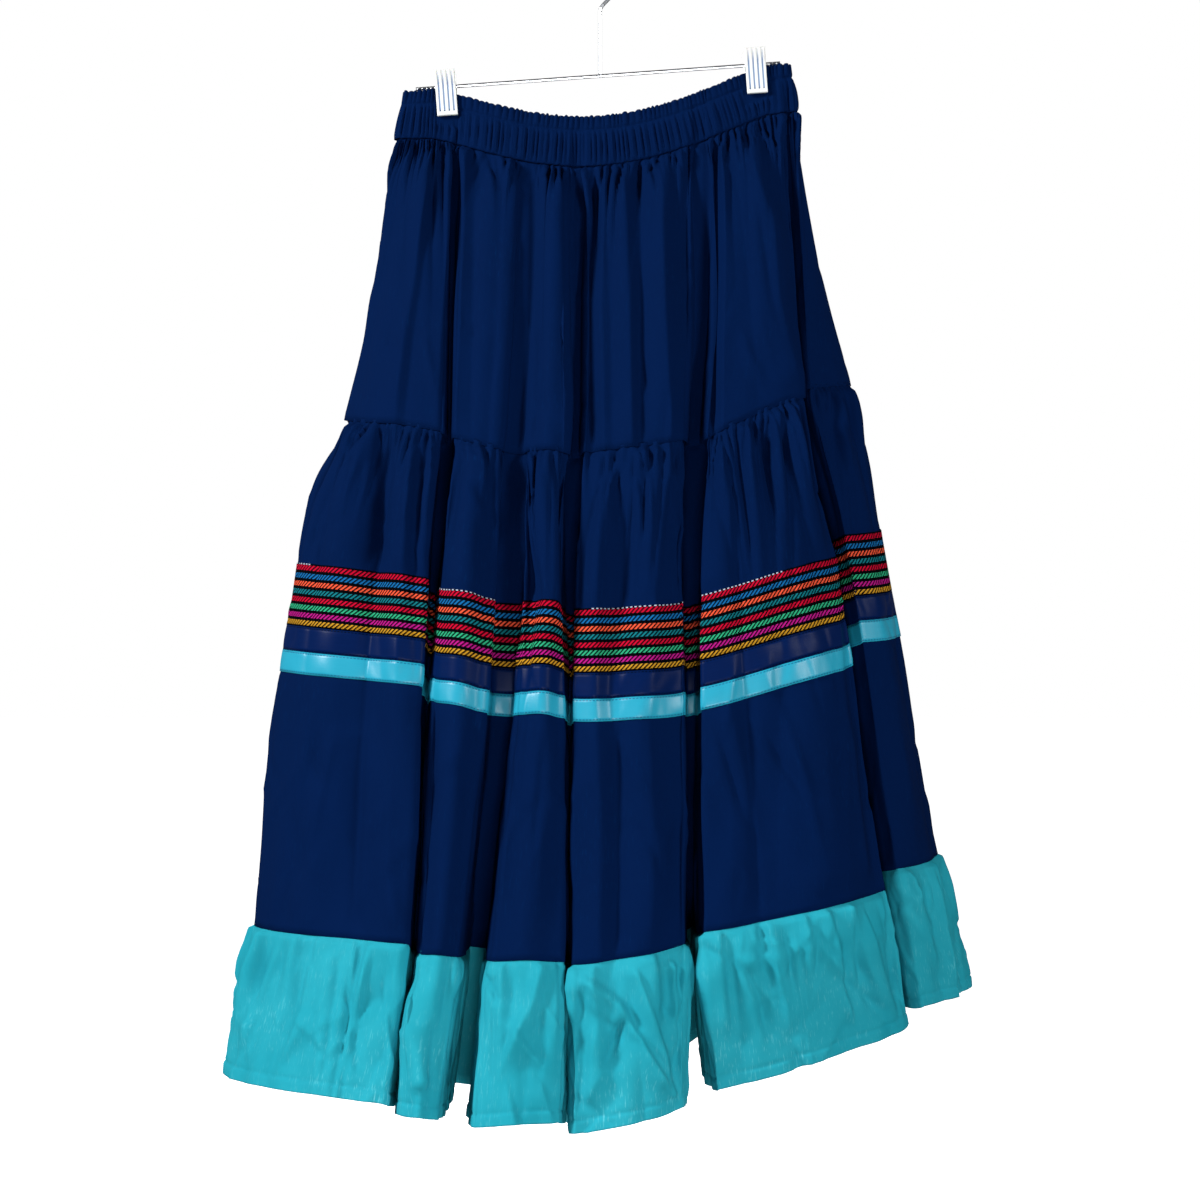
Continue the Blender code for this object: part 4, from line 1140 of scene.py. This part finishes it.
def add_jaw(name, clip_x, side):
    """One jaw, from its finger end down to its lip, on the side of the cloth that side gives."""
    node_points = [v.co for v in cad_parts[name].data.vertices]
    middle_z = -BAR_BELOW_ORIGIN + math.tan(BAR_TILT) * clip_x
    grip = min(side * p[1] for p in node_points if (p[2] - middle_z) * math.cos(BAR_TILT) < WELL_BELOW_BAR)
    face = grip + CLIP_WALL
    boss = WIRE_RADIUS + SEAM_GAP
    plain_heights = (
        -BOSS_BELOW - 0.0002, -0.0100, -0.0200, GROOVE_FOOT, HOLE_HEIGHTS[1], HOLE_HEIGHTS[0], LIP_TOP
    )
    # Height, distance of the inside and of the outside from the middle of the cloth
    rows = [
        (CLIP_LEVER, grip + CLIP_FLARE + 0.0006, grip + CLIP_FLARE + CLIP_WALL - 0.0008),
        (CLIP_LEVER - 0.0006, grip + CLIP_FLARE, grip + CLIP_FLARE + CLIP_WALL),
        (BOSS_ABOVE + 0.0002, grip + 0.0008, face + 0.0009),
        (BOSS_ABOVE, boss, face + 0.0008),
        (-BOSS_BELOW, boss, face),
        *[(height, grip, face) for height in plain_heights],
        (-0.0268, grip, face + 0.0004),
        (-0.0290, grip, face + 0.0004),
        (-0.0297, grip, face - 0.0002),
        (-CLIP_GRIP, grip + 0.0003, face - 0.0010),
    ]
    columns = jaw_columns()
    vertices, faces, groove_shade_mask = [], [], []
    index = {}
    for r, (height, inside, outside) in enumerate(rows):
        for c, (across, deep, _) in enumerate(columns):
            sunk = GROOVE_DEPTH if deep and LIP_TOP < height < CLIP_LEVER - 0.001 else 0.0
            rounded = 0.0006 if c in (0, len(columns) - 1) else 0.0
            for face_name, out in (("out", outside - sunk - rounded), ("in", inside)):
                level = clip_x + across * math.cos(BAR_TILT) - height * math.sin(BAR_TILT)
                up = middle_z + across * math.sin(BAR_TILT) + height * math.cos(BAR_TILT)
                index[face_name, r, c] = len(vertices)
                vertices.append((level, side * out, up))
                # Faces sunk in a groove are marked for the plastic's painted shade.
                groove_shade_mask.append(1.0 if sunk and face_name == "out" else 0.0)
    last_row, last_column = len(rows) - 1, len(columns) - 1

    def through(first, second):
        """The wall from the jaw's outside to its inside, between two of its corners."""
        return [index["out", *first], index["out", *second], index["in", *second], index["in", *first]]

    for r in range(last_row):
        for c in range(last_column):
            ring = [(r, c), (r, c + 1), (r + 1, c + 1), (r + 1, c)]
            if columns[c][2] and rows[r][0] == HOLE_HEIGHTS[1]:
                faces += [through(*pair) for pair in zip(ring, ring[1:] + ring[:1])]
            else:
                faces.append([index["out", *corner] for corner in ring])
                faces.append([index["in", *corner] for corner in reversed(ring)])
    for r in range(last_row):
        for c, step in ((0, 1), (last_column, -1)):
            faces.append(through((r, c), (r + 1, c))[::step])
    for c in range(last_column):
        for r, step in ((0, -1), (last_row, 1)):
            faces.append(through((r, c), (r, c + 1))[::step])
    mesh = bpy.data.meshes.new(name + "_moulding")
    mesh.from_pydata(vertices, [], faces)
    # The groove attribute is the mask of the painted shade in the grooves.
    mesh.attributes.new("groove", "FLOAT", "POINT").data.foreach_set("value", groove_shade_mask)
    mesh.validate()
    jaw = bpy.data.objects.new(name + "_moulding", mesh)
    bpy.context.scene.collection.objects.link(jaw)
    mesh.materials.append(white_plastic)
    edges = jaw.modifiers.new("moulded edges", "BEVEL")
    edges.width = 0.00025
    edges.segments = 2
    edges.limit_method = "ANGLE"
    edges.angle_limit = math.radians(50)
    mesh.shade_smooth()
    mesh.set_sharp_from_angle(angle=math.radians(50))
    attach(jaw, "root")
    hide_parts(name)


for clip, clip_x in zip(("left_clip", "right_clip"), CLIP_X):
    for label, side in (("front", -1), ("back", 1)):
        add_jaw(f"{clip}_{label}_jaw", clip_x, side)

# Studio. A plain white floor and surround, a soft light high to the left of the camera, weaker ones to
# its right, low in front and behind, and a level camera 2.4 m in front of the skirt's middle.

floor_mesh = bpy.data.meshes.new("floor")
FLOOR_HEIGHT, FLOOR_HALF = -1.75, 20
corners = [(x * FLOOR_HALF, y * FLOOR_HALF, FLOOR_HEIGHT) for x, y in ((-1, -1), (1, -1), (1, 1), (-1, 1))]
floor_mesh.from_pydata(corners, [], [(0, 1, 2, 3)])
floor = bpy.data.objects.new("floor", floor_mesh)
bpy.context.scene.collection.objects.link(floor)
paper, paper_tree, paper_shader = new_finish("matt white paper")
paper_grain = add_node(paper_tree, "TexNoise", {"Scale": 3.0, "Detail": 2.0})
paper_tint = add_node(
    paper_tree, "Mix", {0: paper_grain, 6: linear("#FAFAFA"), 7: linear("#FFFFFF")}, data_type="RGBA"
)
set_sockets(paper_tree, paper_shader, {
    "Base Color": paper_tint.outputs[2], "Roughness": 0.95, "Emission Color": (1.0, 1.0, 1.0, 1.0),
    "Emission Strength": 1.0,
})
floor_mesh.materials.append(paper)
floor.visible_diffuse = False  # the floor is lit evenly, and throws none of that light up at the cloth
floor.visible_glossy = False

world = bpy.data.worlds.new("studio")
bpy.context.scene.world = world
world.use_nodes = True
sky = world.node_tree.nodes["Background"]
rays = add_node(world.node_tree, "LightPath").outputs["Is Camera Ray"]
brightness = add_node(world.node_tree, "MapRange", {"Value": rays, "To Min": 0.11, "To Max": 1.0})
set_sockets(world.node_tree, sky, {"Strength": brightness, "Color": (1.0, 1.0, 1.0, 1.0)})


def add_soft_light(name, place, target, size, power):
    """A soft oblong light at one place, turned to face another."""
    lamp = bpy.data.lights.new(name, "AREA")
    lamp.shape = "RECTANGLE"
    lamp.size, lamp.size_y = size
    lamp.energy = power
    light = bpy.data.objects.new(name, lamp)
    bpy.context.scene.collection.objects.link(light)
    light.location = place
    away = np.array(place) - np.array(target)
    across = math.hypot(away[0], away[1])
    light.rotation_euler = (math.atan2(across, away[2]), 0.0, math.atan2(away[0], -away[1]))


add_soft_light("key", (-2.9, -1.65, 1.1), (0.0, 0.0, -0.6), (0.5, 0.8), 192)
add_soft_light("fill", (2.5, -2.1, 0.2), (0.0, 0.0, -0.6), (0.6, 0.9), 62)
add_soft_light("low", (0.08, -1.60, -1.40), (0.08, 0.0, -0.95), (0.5, 0.3), 14)
add_soft_light("back", (-0.5, 3.2, 0.8), (0.0, 0.0, -0.6), (0.8, 0.8), 75)

camera_data = bpy.data.cameras.new("camera")
camera_data.sensor_width = 36
camera_data.lens = 72
camera = bpy.data.objects.new("camera", camera_data)
bpy.context.scene.collection.objects.link(camera)
camera.location = (0.0, -VIEW_DISTANCE, VIEW_HEIGHT)
camera.rotation_euler = (math.pi / 2, 0.0, 0.0)
bpy.context.scene.camera = camera
bpy.context.scene.view_settings.view_transform = "Standard"
